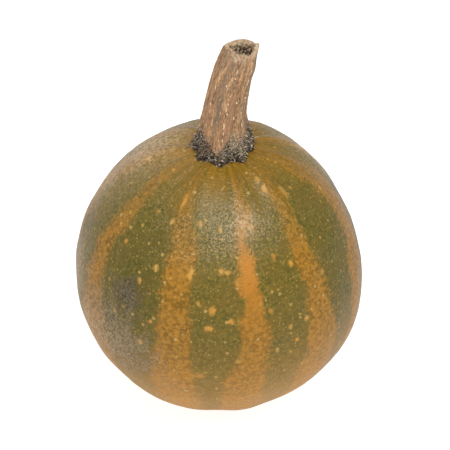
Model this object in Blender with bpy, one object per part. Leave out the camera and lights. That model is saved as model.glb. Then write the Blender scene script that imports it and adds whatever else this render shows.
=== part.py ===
"""A small round pumpkin, as picked: the fruit, and the cut stem that stands on it.

Metres, with +Z up. The fruit rests on a small flat spot at z = 0, and the box of the fruit
is centred on the Z axis. Longitude is measured round the fruit from the front (-Y)
towards +X, and latitude up from its waist, both in degrees.
"""

import math
import random
from collections import namedtuple

import bmesh
import bpy
from mathutils import Vector
from mathutils.bvhtree import BVHTree

MM = 0.001

# The fruit
FRUIT_WIDTH = 170 * MM
FRUIT_HEIGHT = 171 * MM
FRUIT_SIDES = 80
FRUIT_BANDS = 38
SQUARENESS = 2.03  # 2 is a true ellipse; more is boxier
CROWN_SHIFT = 2.5 * MM  # how far the crown, where the stem grows, leans towards +X
CROWN_DIP = 1.6 * MM
CROWN_DIP_RADIUS = 40 * MM
FLAT_DEPTH = 3.2 * MM  # how much of the round underside the flat spot takes away
FLAT_BLEND = 2.0 * MM
SCAR_RADIUS = 11 * MM  # the dimple round the blossom scar, in the middle of the flat spot
SCAR_DEPTH = 1.6 * MM
RIND_COLOUR = (0.25, 0.16, 0.03)
RIND_ROUGHNESS = 0.42

# The ten ribs, each a low swelling that fades out before the crown and before the flat spot
RIB_LONGITUDES = (-170, -132, -94, -62, -18, 13, 43, 79, 114, 152)
RIB_HEIGHT = 1.3 * MM
RIB_WAIST_SHARE = 0.3  # how much of the rib's height is left at the waist
RIB_FADE_CROWN = (0.16, 0.42)  # the shares of the half-width between which a rib grows
RIB_FADE_FLAT = (0.30, 0.80)

# Slow swellings (positive) and flats (negative) that keep the fruit from being a true globe
Swell = namedtuple("Swell", "longitude latitude spread height")
SWELLS = (
    Swell(72, -20, 20, 2.6 * MM),
    Swell(112, 30, 26, -2.2 * MM),
    Swell(-105, 32, 28, -0.9 * MM),
    Swell(155, 50, 28, 0.8 * MM),
    Swell(0, -52, 30, -1.0 * MM),
    Swell(-42, -62, 20, 1.0 * MM),
    Swell(-60, -30, 18, -0.6 * MM),
    Swell(-155, -5, 30, -1.6 * MM),
)

# The stem
STEM_HEIGHT = 60.4 * MM
STEM_RADIUS = 11.8 * MM
STEM_SIDES = 48
STEM_RINGS = 22
STEM_RING_CROWDING = 1.35  # more than 1 sets the rings closer in the flared foot
STEM_LEAN_X = 10.2 * MM  # how far the cut end stands aside of the foot
STEM_LEAN_Y = 6.0 * MM
STEM_BEND = 2.4  # 1 is a straight lean; more keeps the lean for the upper part
STEM_TWIST = 14  # degrees that the ridges turn from foot to cut end
STEM_NARROWING = 0.21
FLARE = 3.9 * MM
FLARE_HEIGHT = 11 * MM
FLARE_CURVE = 1.5
RIDGE_LONGITUDES = (-145, -98, -52, -5, 42, 88, 130, 172)
RIDGE_SPREAD = 13
RIDGE_SHARE = 0.085  # a ridge's height as a share of the stem's radius
RIDGE_FADE = 0.6  # how much of it is lost by the cut end
LOBE_SHARE = 0.15  # what the ridges gain where they spread into the foot's lobes
LOBE_HEIGHT = 6 * MM
SEAT_GAP = 0.35 * MM  # between the stem's underside and the fruit
SEAT_RINGS = (0.35, 0.70)  # the underside's inner rings, as shares of the foot's radius
STEM_COLOUR = (0.30, 0.16, 0.08)
STEM_ROUGHNESS = 0.8

# The cut end, with a torn lip on one side and a pit where the pith has dried away
LIP_LONGITUDE = 84
LIP_SPREAD = 20
LIP_HEIGHT = 6.8 * MM
CUT_SLOPE = 0.8 * MM
RAGGED = ((5, 0, 0.22 * MM), (9, 40, 0.16 * MM))  # waves round the rim, start and height
PIT_DEPTH = 6.5 * MM
PIT_RINGS = ((0.86, -0.3 * MM), (0.62, 0.8 * MM), (0.42, 3.9 * MM), (0.20, PIT_DEPTH))

# The stiff bristles that stand out round the stem's foot
BRISTLE_COUNT = 150
BRISTLE_LENGTH = (2.2 * MM, 3.8 * MM)
BRISTLE_RADIUS = 0.42 * MM
BRISTLE_TIP_RADIUS = 0.12 * MM
BRISTLE_SIDES = 3
BRISTLE_SUNK = 1.3 * MM
BRISTLE_BAND = (1.2 * MM, 9.0 * MM)  # the heights on the foot that they grow from
BRISTLE_CROWDING = 1.4  # more than 1 sets more of them low on the foot
BRISTLE_LEAN_ASIDE = 0.3
BRISTLE_LEAN_DOWN = 0.35
BRISTLE_LEAN_UP = 0.15
BRISTLE_CLEARANCE = 0.8 * MM  # between a bristle's tip and the fruit
GOLDEN_ANGLE = 137.508
SEED = 7


def smooth_step(low, high, value):
    """0 below low, 1 above high, and an S-curve between."""
    share = min(1.0, max(0.0, (value - low) / (high - low)))
    return share * share * (3 - 2 * share)


def turn_between(first, second):
    """The smaller turn from one longitude to another, in degrees."""
    return (second - first + 180) % 360 - 180


def bump(distance, spread):
    """A rounded bump that is 1 in its middle."""
    return math.exp(-((distance / spread) ** 2))


def direction_at(longitude, latitude):
    """The unit vector that points to a place on the fruit."""
    east = math.radians(longitude)
    north = math.radians(latitude)
    across = math.cos(north)
    return Vector((math.sin(east) * across, -math.cos(east) * across, math.sin(north)))


def rib_wave(longitude):
    """1 on the middle of a rib, and 0 in the furrow between two ribs."""
    for index, after in enumerate(RIB_LONGITUDES):
        before = RIB_LONGITUDES[index - 1]
        gap = (after - before) % 360
        way = (longitude - before) % 360
        if way <= gap:
            return 0.5 + 0.5 * math.cos(2 * math.pi * way / gap)
    return 0.0


def swelling(direction):
    """How far the slow swellings lift the fruit's surface in a direction."""
    return sum(
        swell.height * bump(
            math.degrees(direction.angle(direction_at(swell.longitude, swell.latitude))),
            swell.spread,
        )
        for swell in SWELLS
    )


def rib_rise(direction):
    """How far the ribs lift the fruit's surface in a direction."""
    across = math.hypot(direction.x, direction.y)
    longitude = math.degrees(math.atan2(direction.x, -direction.y))
    share = RIB_WAIST_SHARE + (1 - RIB_WAIST_SHARE) * direction.z**2
    fade = RIB_FADE_CROWN if direction.z > 0 else RIB_FADE_FLAT
    return RIB_HEIGHT * share * smooth_step(*fade, across) * (rib_wave(longitude) - 0.5)


def fruit_point(direction):
    """The fruit's surface in a direction from the middle of an even globe.

    The globe is made boxier, given its swellings and ribs, dipped round the crown, and
    pressed flat below.
    """
    half_width = FRUIT_WIDTH / 2
    half_height = (FRUIT_HEIGHT + FLAT_DEPTH + FLAT_BLEND / 2 + CROWN_DIP) / 2
    across = math.hypot(direction.x, direction.y)
    boxier = (across**SQUARENESS + abs(direction.z) ** SQUARENESS) ** (-1 / SQUARENESS)
    sides = Vector((direction.x * half_width, direction.y * half_width, direction.z * half_height))
    point = sides * boxier + direction * (swelling(direction) + rib_rise(direction))

    reach = math.hypot(point.x, point.y)
    if direction.z > 0:
        point.x += CROWN_SHIFT * direction.z**3
        point.z -= CROWN_DIP * (1 - smooth_step(0, CROWN_DIP_RADIUS, reach))
    height = point.z + half_height - FLAT_DEPTH
    if height < FLAT_BLEND:
        height = max(0.0, height) ** 2 / (2 * FLAT_BLEND)
    else:
        height -= FLAT_BLEND / 2
    if direction.z < 0:
        height += SCAR_DEPTH * max(0.0, 1 - (reach / SCAR_RADIUS) ** 2) ** 2
    return Vector((point.x, point.y, height))


def principled(name, colour, roughness):
    """A plain Principled material."""
    material = bpy.data.materials.new(name)
    material.use_nodes = True
    shader = material.node_tree.nodes["Principled BSDF"]
    shader.inputs["Base Color"].default_value = (*colour, 1)
    shader.inputs["Roughness"].default_value = roughness
    shader.inputs["Metallic"].default_value = 0.0
    material.diffuse_color = (*colour, 1)
    return material


def add_object(name, bm, collection, material=None):
    """Turns a bmesh into a smooth-shaded object of that name."""
    bmesh.ops.recalc_face_normals(bm, faces=bm.faces)
    mesh = bpy.data.meshes.new(name)
    bm.to_mesh(mesh)
    bm.free()
    mesh.shade_smooth()
    if material:
        mesh.materials.append(material)
    obj = bpy.data.objects.new(name, mesh)
    collection.objects.link(obj)
    return obj


def make_fruit(collection):
    """The whole fruit: a globe of quads, each vertex moved to the fruit's surface."""
    bm = bmesh.new()
    bmesh.ops.create_uvsphere(bm, u_segments=FRUIT_SIDES, v_segments=FRUIT_BANDS, radius=1)
    for vertex in bm.verts:
        vertex.co = fruit_point(vertex.co.normalized())
    return add_object("fruit", bm, collection, principled("rind", RIND_COLOUR, RIND_ROUGHNESS))


class Stem:
    """The stem's wall, as a function of longitude and height, and the rings it is lofted from."""

    def __init__(self, fruit):
        self.fruit = BVHTree.FromPolygons(
            [vertex.co.copy() for vertex in fruit.data.vertices],
            [tuple(polygon.vertices) for polygon in fruit.data.polygons],
        )
        self.seat = Vector((CROWN_SHIFT, 0, self.fruit_height(CROWN_SHIFT, 0)))

    def fruit_height(self, x, y):
        """How high the fruit's top surface is at x, y."""
        hit, _, _, _ = self.fruit.ray_cast(Vector((x, y, 2 * FRUIT_HEIGHT)), Vector((0, 0, -1)))
        return hit.z

    def axis_point(self, height):
        """The stem's centreline, which bends aside as it rises."""
        share = height / STEM_HEIGHT
        bend = share**STEM_BEND
        return self.seat + Vector((STEM_LEAN_X * bend, STEM_LEAN_Y * bend, height))

    def axes_across(self, height):
        """The two directions across the stem at a height: towards +X and towards -Y."""
        slope = STEM_BEND * (height / STEM_HEIGHT) ** (STEM_BEND - 1)
        along = Vector((STEM_LEAN_X * slope, STEM_LEAN_Y * slope, STEM_HEIGHT)).normalized()
        aside = (Vector((1, 0, 0)) - along * along.x).normalized()
        return aside, aside.cross(along)

    def radius(self, longitude, height):
        """The wall's distance from the centreline."""
        share = height / STEM_HEIGHT
        plain = STEM_RADIUS * (1 - STEM_NARROWING * share**4)
        plain += FLARE * math.exp(-((height / FLARE_HEIGHT) ** FLARE_CURVE))
        ridges = RIDGE_SHARE * (1 - RIDGE_FADE * share) + LOBE_SHARE * bump(height, LOBE_HEIGHT)
        twist = STEM_TWIST * share
        wave = sum(bump(turn_between(ridge + twist, longitude), RIDGE_SPREAD) for ridge in RIDGE_LONGITUDES)
        return plain * (1 + ridges * (wave - 0.5))

    def wall(self, longitude, height, inset=1.0):
        """A point on the wall, or inside it at a share of the wall's radius."""
        aside, ahead = self.axes_across(height)
        turn = math.radians(longitude)
        out = self.radius(longitude, height) * inset
        point = self.axis_point(height) + aside * (out * math.sin(turn)) + ahead * (out * math.cos(turn))
        settle = math.exp(-2 * height / FLARE_HEIGHT)
        seated = self.fruit_height(point.x, point.y) + SEAT_GAP
        point.z += (seated - self.seat.z) * settle
        return point

    def cut_height(self, longitude):
        """How high the torn rim of the cut end stands at a longitude."""
        lip = LIP_HEIGHT * bump(turn_between(LIP_LONGITUDE, longitude), LIP_SPREAD)
        slope = CUT_SLOPE * math.cos(math.radians(longitude))
        ragged = sum(
            height * math.sin(math.radians(waves * longitude + start))
            for waves, start, height in RAGGED
        )
        return STEM_HEIGHT + lip - slope + ragged

    def rings(self):
        """The rings from the middle of the underside, up the wall, over the rim and down the pit."""
        longitudes = [360 * side / STEM_SIDES for side in range(STEM_SIDES)]
        made = [[self.wall(longitude, 0, inset) for longitude in longitudes] for inset in SEAT_RINGS]
        for ring in range(STEM_RINGS + 1):
            share = (ring / STEM_RINGS) ** STEM_RING_CROWDING
            made.append([
                self.wall(longitude, share * self.cut_height(longitude))
                for longitude in longitudes
            ])
        for inset, depth in PIT_RINGS:
            level = min(1.0, max(0.0, 2 * depth / PIT_DEPTH))
            heights = [
                (1 - level) * self.cut_height(longitude) + level * STEM_HEIGHT - depth
                for longitude in longitudes
            ]
            made.append([
                self.wall(longitude, height, inset)
                for longitude, height in zip(longitudes, heights)
            ])
        return made

    def ends(self):
        """The middle of the underside, and the bottom of the pit."""
        return self.wall(0, 0, 0), self.wall(0, STEM_HEIGHT - PIT_DEPTH, 0)

    def bristle(self, longitude, height, length, lean):
        """The root and the tip of one bristle, with the tip kept clear of the fruit."""
        root = self.wall(longitude, height)
        beside = self.wall(longitude + 4, height)
        above = self.wall(longitude, height + MM)
        out = (beside - root).cross(above - root).normalized()
        direction = (out + Vector(lean)).normalized()
        tip = root + direction * length
        lowest = self.fruit_height(tip.x, tip.y) + BRISTLE_CLEARANCE
        tip.z = max(tip.z, lowest)
        return root - direction * BRISTLE_SUNK, tip


def loft(rings, first, last):
    """A closed skin through rings of equally many points, ending in a point at each end."""
    bm = bmesh.new()
    start = bm.verts.new(first)
    loops = [[bm.verts.new(point) for point in ring] for ring in rings]
    end = bm.verts.new(last)
    count = len(loops[0])
    for side in range(count):
        beside = (side + 1) % count
        bm.faces.new((start, loops[0][side], loops[0][beside]))
        for lower, upper in zip(loops, loops[1:]):
            bm.faces.new((lower[side], upper[side], upper[beside], lower[beside]))
        bm.faces.new((end, loops[-1][beside], loops[-1][side]))
    return bm


def make_bristles(stem, collection):
    """Spikes spread evenly round the foot by the golden angle, with seeded jitter."""
    draw = random.Random(SEED)
    low, high = BRISTLE_BAND
    for number in range(BRISTLE_COUNT):
        longitude = number * GOLDEN_ANGLE % 360
        height = low + (high - low) * (number / BRISTLE_COUNT) ** BRISTLE_CROWDING
        lean = (
            draw.uniform(-BRISTLE_LEAN_ASIDE, BRISTLE_LEAN_ASIDE),
            draw.uniform(-BRISTLE_LEAN_ASIDE, BRISTLE_LEAN_ASIDE),
            draw.uniform(-BRISTLE_LEAN_DOWN, BRISTLE_LEAN_UP),
        )
        root, tip = stem.bristle(longitude, height, draw.uniform(*BRISTLE_LENGTH), lean)
        spike = bmesh.new()
        bmesh.ops.create_cone(
            spike,
            cap_ends=True,
            segments=BRISTLE_SIDES,
            radius1=BRISTLE_RADIUS,
            radius2=BRISTLE_TIP_RADIUS,
            depth=(tip - root).length,
        )
        obj = add_object(f"bristle_{number:03d}", spike, collection)
        obj.location = (root + tip) / 2
        obj.rotation_mode = "QUATERNION"
        obj.rotation_quaternion = (tip - root).to_track_quat("Z", "Y")


def make_stem(fruit, collection):
    """The stem, with its bristles grown into its foot."""
    stem = Stem(fruit)
    skin = loft(stem.rings(), *stem.ends())
    obj = add_object("stem", skin, collection, principled("stem", STEM_COLOUR, STEM_ROUGHNESS))
    spikes = bpy.data.collections.new("bristles")
    bpy.context.scene.collection.children.link(spikes)
    make_bristles(stem, spikes)
    union = obj.modifiers.new("bristles", "BOOLEAN")
    union.operation = "UNION"
    union.operand_type = "COLLECTION"
    union.collection = spikes
    union.solver = "EXACT"
    bpy.context.view_layer.update()
    graph = bpy.context.evaluated_depsgraph_get()
    joined = bpy.data.meshes.new_from_object(obj.evaluated_get(graph))
    obj.modifiers.clear()
    obj.data = joined
    for spike in list(spikes.objects):
        bpy.data.objects.remove(spike)
    bpy.data.collections.remove(spikes)
    return obj


def main():
    """Builds the pumpkin in an empty scene."""
    for obj in list(bpy.data.objects):
        bpy.data.objects.remove(obj)
    collection = bpy.data.collections.new("pumpkin")
    bpy.context.scene.collection.children.link(collection)
    fruit = make_fruit(collection)
    stem = make_stem(fruit, collection)
    xs = [vertex.co.x for vertex in fruit.data.vertices]
    ys = [vertex.co.y for vertex in fruit.data.vertices]
    base = bpy.data.objects.new("pumpkin_base", None)
    collection.objects.link(base)
    base.location = (-(min(xs) + max(xs)) / 2, -(min(ys) + max(ys)) / 2, 0)
    fruit.parent = base
    stem.parent = base


main()
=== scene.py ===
"""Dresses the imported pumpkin: its striped rind, its corky stem with the bristles, and a small studio.

Metres, with +Z up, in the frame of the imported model. Longitude is measured round the fruit from
the front (-Y) towards +X, and latitude up from its waist, both in degrees.
"""

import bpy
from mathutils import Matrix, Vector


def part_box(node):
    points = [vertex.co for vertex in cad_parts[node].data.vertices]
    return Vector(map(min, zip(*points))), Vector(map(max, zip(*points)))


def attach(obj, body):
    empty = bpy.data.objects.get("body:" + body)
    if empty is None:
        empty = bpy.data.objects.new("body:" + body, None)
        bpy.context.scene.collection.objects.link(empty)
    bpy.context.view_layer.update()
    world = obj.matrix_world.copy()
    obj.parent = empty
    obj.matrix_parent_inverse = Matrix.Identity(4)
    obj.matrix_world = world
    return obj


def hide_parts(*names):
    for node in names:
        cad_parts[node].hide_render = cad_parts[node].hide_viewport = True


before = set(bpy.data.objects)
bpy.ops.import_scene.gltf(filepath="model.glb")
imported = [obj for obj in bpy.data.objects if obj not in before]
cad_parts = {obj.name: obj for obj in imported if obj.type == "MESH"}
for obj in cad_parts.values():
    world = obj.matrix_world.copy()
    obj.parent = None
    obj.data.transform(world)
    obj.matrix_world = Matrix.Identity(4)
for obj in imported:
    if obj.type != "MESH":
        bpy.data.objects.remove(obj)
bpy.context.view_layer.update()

import logging
import math
from dataclasses import dataclass
from enum import Enum
from typing import NamedTuple, Sequence

import bmesh
import bpy
import numpy as np
from mathutils import Vector, noise
from mathutils.bvhtree import BVHTree

LOG = logging.getLogger("pumpkin")
MM = 0.001
BODY = "root"
GOLDEN_ANGLE = 137.508
BLOTCH_GLOBE = 85.0
BLOTCH_CLEARANCE = 2.0
BLOTCH_REACH = 2.6
BLOTCH_FAR = 3.0

Colour = tuple[float, float, float]
Socket = bpy.types.NodeSocket
Value = float | Colour | Socket


class Slot(Enum):
    """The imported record's material slots."""

    RIND = "rind"
    STEM = "stem"


# Small maths on arrays


def smooth_step(low: float, high: float, value: np.ndarray) -> np.ndarray:
    """0 on low's side, 1 on high's side, and an S-curve between them. Low may be the higher number."""
    share = np.clip((value - low) / (high - low), 0.0, 1.0)
    return share * share * (3 - 2 * share)


def bump(distance: np.ndarray, spread: float) -> np.ndarray:
    """A rounded bump that is 1 in its middle."""
    return np.exp(-((distance / spread) ** 2))


def turn_between(first: float, second: np.ndarray) -> np.ndarray:
    """The smaller turn from one longitude to others, in degrees."""
    return (second - first + 180) % 360 - 180


def directions_at(longitude: np.ndarray, latitude: np.ndarray) -> np.ndarray:
    """Unit vectors that point to places on the fruit.

    Args:
        longitude: the places' longitudes.
        latitude: the places' latitudes.

    Returns:
        The vectors, one row each.
    """
    east, north = np.radians(longitude), np.radians(latitude)
    across = np.cos(north)
    return np.stack([np.sin(east) * across, -np.cos(east) * across, np.sin(north)], axis=-1)


class Waves:
    """A smooth random field: plane waves of seeded direction, length and phase, added up."""

    def __init__(self, seed: int, shortest: float, longest: float, count: int = 28) -> None:
        """Draws the waves.

        Args:
            seed: what fixes the draw.
            shortest: the shortest wavelength, in metres.
            longest: the longest wavelength, in metres.
            count: how many waves are added.
        """
        draw = np.random.default_rng(seed)
        heading = draw.normal(size=(count, 3))
        heading /= np.linalg.norm(heading, axis=1, keepdims=True)
        lengths = draw.uniform(shortest, longest, size=(count, 1))
        self.heading = heading * 2 * math.pi / lengths
        self.phase = draw.uniform(0, 2 * math.pi, size=count)

    def at(self, points: np.ndarray) -> np.ndarray:
        """The field at points, one row each, with a spread of about 1."""
        waves = np.cos(points @ self.heading.T + self.phase)
        return waves.sum(axis=1) * math.sqrt(2 / len(self.phase))


# Meshes


def add_mesh(name: str, bm: bmesh.types.BMesh) -> bpy.types.Object:
    """Turns a bmesh into a smooth-shaded object in the scene.

    Args:
        name: the piece's name.
        bm: the mesh, which is freed.

    Returns:
        The new object.
    """
    mesh = bpy.data.meshes.new(name)
    bm.to_mesh(mesh)
    bm.free()
    mesh.shade_smooth()
    piece = bpy.data.objects.new(name, mesh)
    bpy.context.scene.collection.objects.link(piece)
    return piece


def vertex_places(mesh: bpy.types.Mesh) -> np.ndarray:
    """The places of a mesh's vertices.

    Args:
        mesh: the mesh.

    Returns:
        The places, one row each.
    """
    flat = np.zeros(len(mesh.vertices) * 3)
    mesh.vertices.foreach_get("co", flat)
    return flat.reshape(-1, 3)


def move_vertices(mesh: bpy.types.Mesh, places: np.ndarray) -> None:
    """Moves a mesh's vertices to new places."""
    mesh.vertices.foreach_set("co", places.astype(np.float32).ravel())
    mesh.update()


def paint(mesh: bpy.types.Mesh, name: str, values: np.ndarray) -> None:
    """Keeps a number or a vector for each vertex under a name that materials read.

    Args:
        mesh: the mesh.
        name: the name.
        values: the numbers, or the vectors with one row each.
    """
    vector = values.ndim == 2
    layer = mesh.attributes.new(name, "FLOAT_VECTOR" if vector else "FLOAT", "POINT")
    layer.data.foreach_set("vector" if vector else "value", values.astype(np.float32).ravel())


def skin(name: str, loops: Sequence[np.ndarray], ends: tuple[np.ndarray, np.ndarray]) -> bpy.types.Object:
    """A closed skin through loops of equally many points, ending in a point at each end.

    Args:
        name: the piece's name.
        loops: the loops, from first to last, each with a row for each point.
        ends: the first and the last point.

    Returns:
        The new object. Its vertices are the first end, the loops in order and the last end.
    """
    bm = bmesh.new()
    start = bm.verts.new(ends[0])
    rows = [[bm.verts.new(point) for point in loop] for loop in loops]
    finish = bm.verts.new(ends[1])
    count = len(rows[0])
    for side in range(count):
        beside = (side + 1) % count
        bm.faces.new((start, rows[0][beside], rows[0][side]))
        for lower, upper in zip(rows, rows[1:]):
            bm.faces.new((lower[side], lower[beside], upper[beside], upper[side]))
        bm.faces.new((finish, rows[-1][side], rows[-1][beside]))
    bmesh.ops.recalc_face_normals(bm, faces=bm.faces)
    return add_mesh(name, bm)


def add_spike(bm: bmesh.types.BMesh, points: Sequence[Vector], radius: float, taper: float = 0.75) -> int:
    """Adds one three-sided spike along points to a mesh.

    Args:
        bm: the mesh that it is added to.
        points: its centreline, from the root to the tip.
        radius: its radius at the root.
        taper: how much of the radius is lost by the last point before the tip.

    Returns:
        How many vertices it has: three for each point but the last, and one for the tip.
    """
    rows = []
    last = len(points) - 1
    for number, point in enumerate(points[:-1]):
        along = (points[number + 1] - point).normalized()
        first = along.orthogonal().normalized()
        second = along.cross(first)
        reach = radius * (1 - taper * number / last)
        turns = [2 * math.pi * side / 3 for side in range(3)]
        corners = [point + (first * math.cos(turn) + second * math.sin(turn)) * reach for turn in turns]
        rows.append([bm.verts.new(corner) for corner in corners])
    tip = bm.verts.new(points[-1])
    bm.faces.new(reversed(rows[0]))
    for side in range(3):
        beside = (side + 1) % 3
        for lower, upper in zip(rows, rows[1:]):
            bm.faces.new((lower[side], lower[beside], upper[beside], upper[side]))
        bm.faces.new((rows[-1][side], rows[-1][beside], tip))
    return 3 * last + 1


def hand_over(piece: bpy.types.Object, node: str, material: bpy.types.Material) -> None:
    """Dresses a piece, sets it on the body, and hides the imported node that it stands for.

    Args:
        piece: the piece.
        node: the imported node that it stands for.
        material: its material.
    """
    piece.data.materials.append(material)
    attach(piece, BODY)
    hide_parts(node)


def report(piece: bpy.types.Object) -> None:
    """Logs a finished piece and its triangles.

    Args:
        piece: the piece.
    """
    mesh = piece.data
    mesh.calc_loop_triangles()
    LOG.info("%s: %d triangles", piece.name, len(mesh.loop_triangles))


# Materials


class Mottle(NamedTuple):
    """The scale and the contrast of a mottle."""

    scale: float
    contrast: float


class Flecks(NamedTuple):
    """The scale of a sprinkling of flecks, their largest size, and the share of cells that hold one."""

    scale: float
    size: float
    share: float


class Wiring:
    """Adds nodes to one node tree and joins them."""

    def __init__(self, tree: bpy.types.NodeTree) -> None:
        """Takes the tree that the nodes go into."""
        self.tree = tree

    def feed(self, socket: Socket, value: Value) -> None:
        """Links a socket into an input, or sets the input's own value.

        Args:
            socket: the input.
            value: a socket to link, or a plain value.
        """
        if isinstance(value, bpy.types.NodeSocket):
            self.tree.links.new(value, socket)
        elif isinstance(value, tuple) and socket.type == "RGBA":
            socket.default_value = (*value, 1.0)
        else:
            socket.default_value = value

    def add(self, kind: str, inputs: dict[str | int, Value], **settings: object) -> bpy.types.Node:
        """Adds a node.

        Args:
            kind: the node's type.
            inputs: what goes into its inputs, by name or place.
            **settings: the node's own settings.

        Returns:
            The new node.
        """
        node = self.tree.nodes.new(kind)
        for name, setting in settings.items():
            setattr(node, name, setting)
        for key, value in inputs.items():
            self.feed(node.inputs[key], value)
        return node

    def math(self, operation: str, first: Value, second: Value = 0.0, clamp: bool = False) -> Socket:
        """The result of an operation on one or two values."""
        inputs = {0: first, 1: second}
        return self.add("ShaderNodeMath", inputs, operation=operation, use_clamp=clamp).outputs[0]

    def plus(self, first: Value, second: Value, clamp: bool = False) -> Socket:
        """The sum of two values."""
        return self.math("ADD", first, second, clamp)

    def times(self, first: Value, second: Value) -> Socket:
        """The product of two values."""
        return self.math("MULTIPLY", first, second)

    def vector_math(self, operation: str, inputs: dict[str | int, Value]) -> Socket:
        """The vector that an operation on vectors gives."""
        return self.add("ShaderNodeVectorMath", inputs, operation=operation).outputs[0]

    def ramp(
        self, value: Value, low: Value, high: Value, to_low: float = 0.0, to_high: float = 1.0
    ) -> Socket:
        """Carries a value smoothly from one range to another, and holds it there.

        Args:
            value: the value.
            low: where its range starts, which may be the higher number.
            high: where its range ends.
            to_low: what it becomes at the start.
            to_high: what it becomes at the end.

        Returns:
            The value in the new range.
        """
        inputs = {"Value": value, "From Min": low, "From Max": high, "To Min": to_low, "To Max": to_high}
        return self.add("ShaderNodeMapRange", inputs, interpolation_type="SMOOTHSTEP").outputs["Result"]

    def mix(self, share: Value, first: Value, second: Value) -> Socket:
        """A colour between two colours.

        Args:
            share: how much of the second colour there is.
            first: the first colour.
            second: the second colour.

        Returns:
            The colour.
        """
        node = self.add("ShaderNodeMix", {0: share}, data_type="RGBA")
        self.feed(node.inputs[6], first)
        self.feed(node.inputs[7], second)
        return node.outputs[2]

    def glaze(self, mask: Value, strength: float, under: Value, over: Value) -> Socket:
        """Lays a colour over another one where a mask is, at a strength."""
        return self.mix(self.times(mask, strength), under, over)

    def scaled(self, vector: Socket, scale: Colour) -> Socket:
        """A vector stretched along its axes."""
        return self.vector_math("MULTIPLY", {0: vector, 1: scale})

    def noise(self, vector: Socket, scale: Value, detail: float = 2.0, roughness: float = 0.5) -> Socket:
        """A cloudy value round 0.5."""
        inputs = {"Vector": vector, "Scale": scale, "Detail": detail, "Roughness": roughness}
        return self.add("ShaderNodeTexNoise", inputs).outputs["Fac"]

    def wander(
        self, vector: Socket, scale: float, height: float, detail: float = 2.0, roughness: float = 0.5
    ) -> Socket:
        """A cloudy value round 0, which makes an edge ragged.

        Args:
            vector: the place.
            scale: how fine the clouds are.
            height: how far it swings in all.
            detail: how many finer layers it has.
            roughness: how strong they are.

        Returns:
            The value.
        """
        cloud = self.noise(vector, scale, detail, roughness)
        return self.times(self.math("SUBTRACT", cloud, 0.5), height)

    def painted(self, name: str, output: str = "Fac") -> Socket:
        """What the mesh keeps under a name."""
        return self.add("ShaderNodeAttribute", {}, attribute_name=name).outputs[output]

    def place(self) -> Socket:
        """The place on the piece, in metres."""
        return self.add("ShaderNodeTexCoord", {}).outputs["Object"]


def new_effect(
    name: str, inputs: dict[str, float], outputs: Sequence[str]
) -> tuple[Wiring, dict[str, Socket], dict[str, Socket]]:
    """Starts a shared effect, which is a shader node group.

    Args:
        name: the group's name.
        inputs: each numeric input with its usual value. A Vector input is always there.
        outputs: the names of the values that it puts out.

    Returns:
        The group's wiring, its inputs by name, and its outputs by name.
    """
    tree = bpy.data.node_groups.new(name, "ShaderNodeTree")
    tree.interface.new_socket("Vector", in_out="INPUT", socket_type="NodeSocketVector")
    for key, usual in inputs.items():
        socket = tree.interface.new_socket(key, in_out="INPUT", socket_type="NodeSocketFloat")
        socket.default_value = usual
    for key in outputs:
        tree.interface.new_socket(key, in_out="OUTPUT", socket_type="NodeSocketFloat")
    entry = tree.nodes.new("NodeGroupInput")
    leave = tree.nodes.new("NodeGroupOutput")
    given = {socket.name: socket for socket in entry.outputs if socket.name}
    wanted = {socket.name: socket for socket in leave.inputs if socket.name}
    return Wiring(tree), given, wanted


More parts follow.
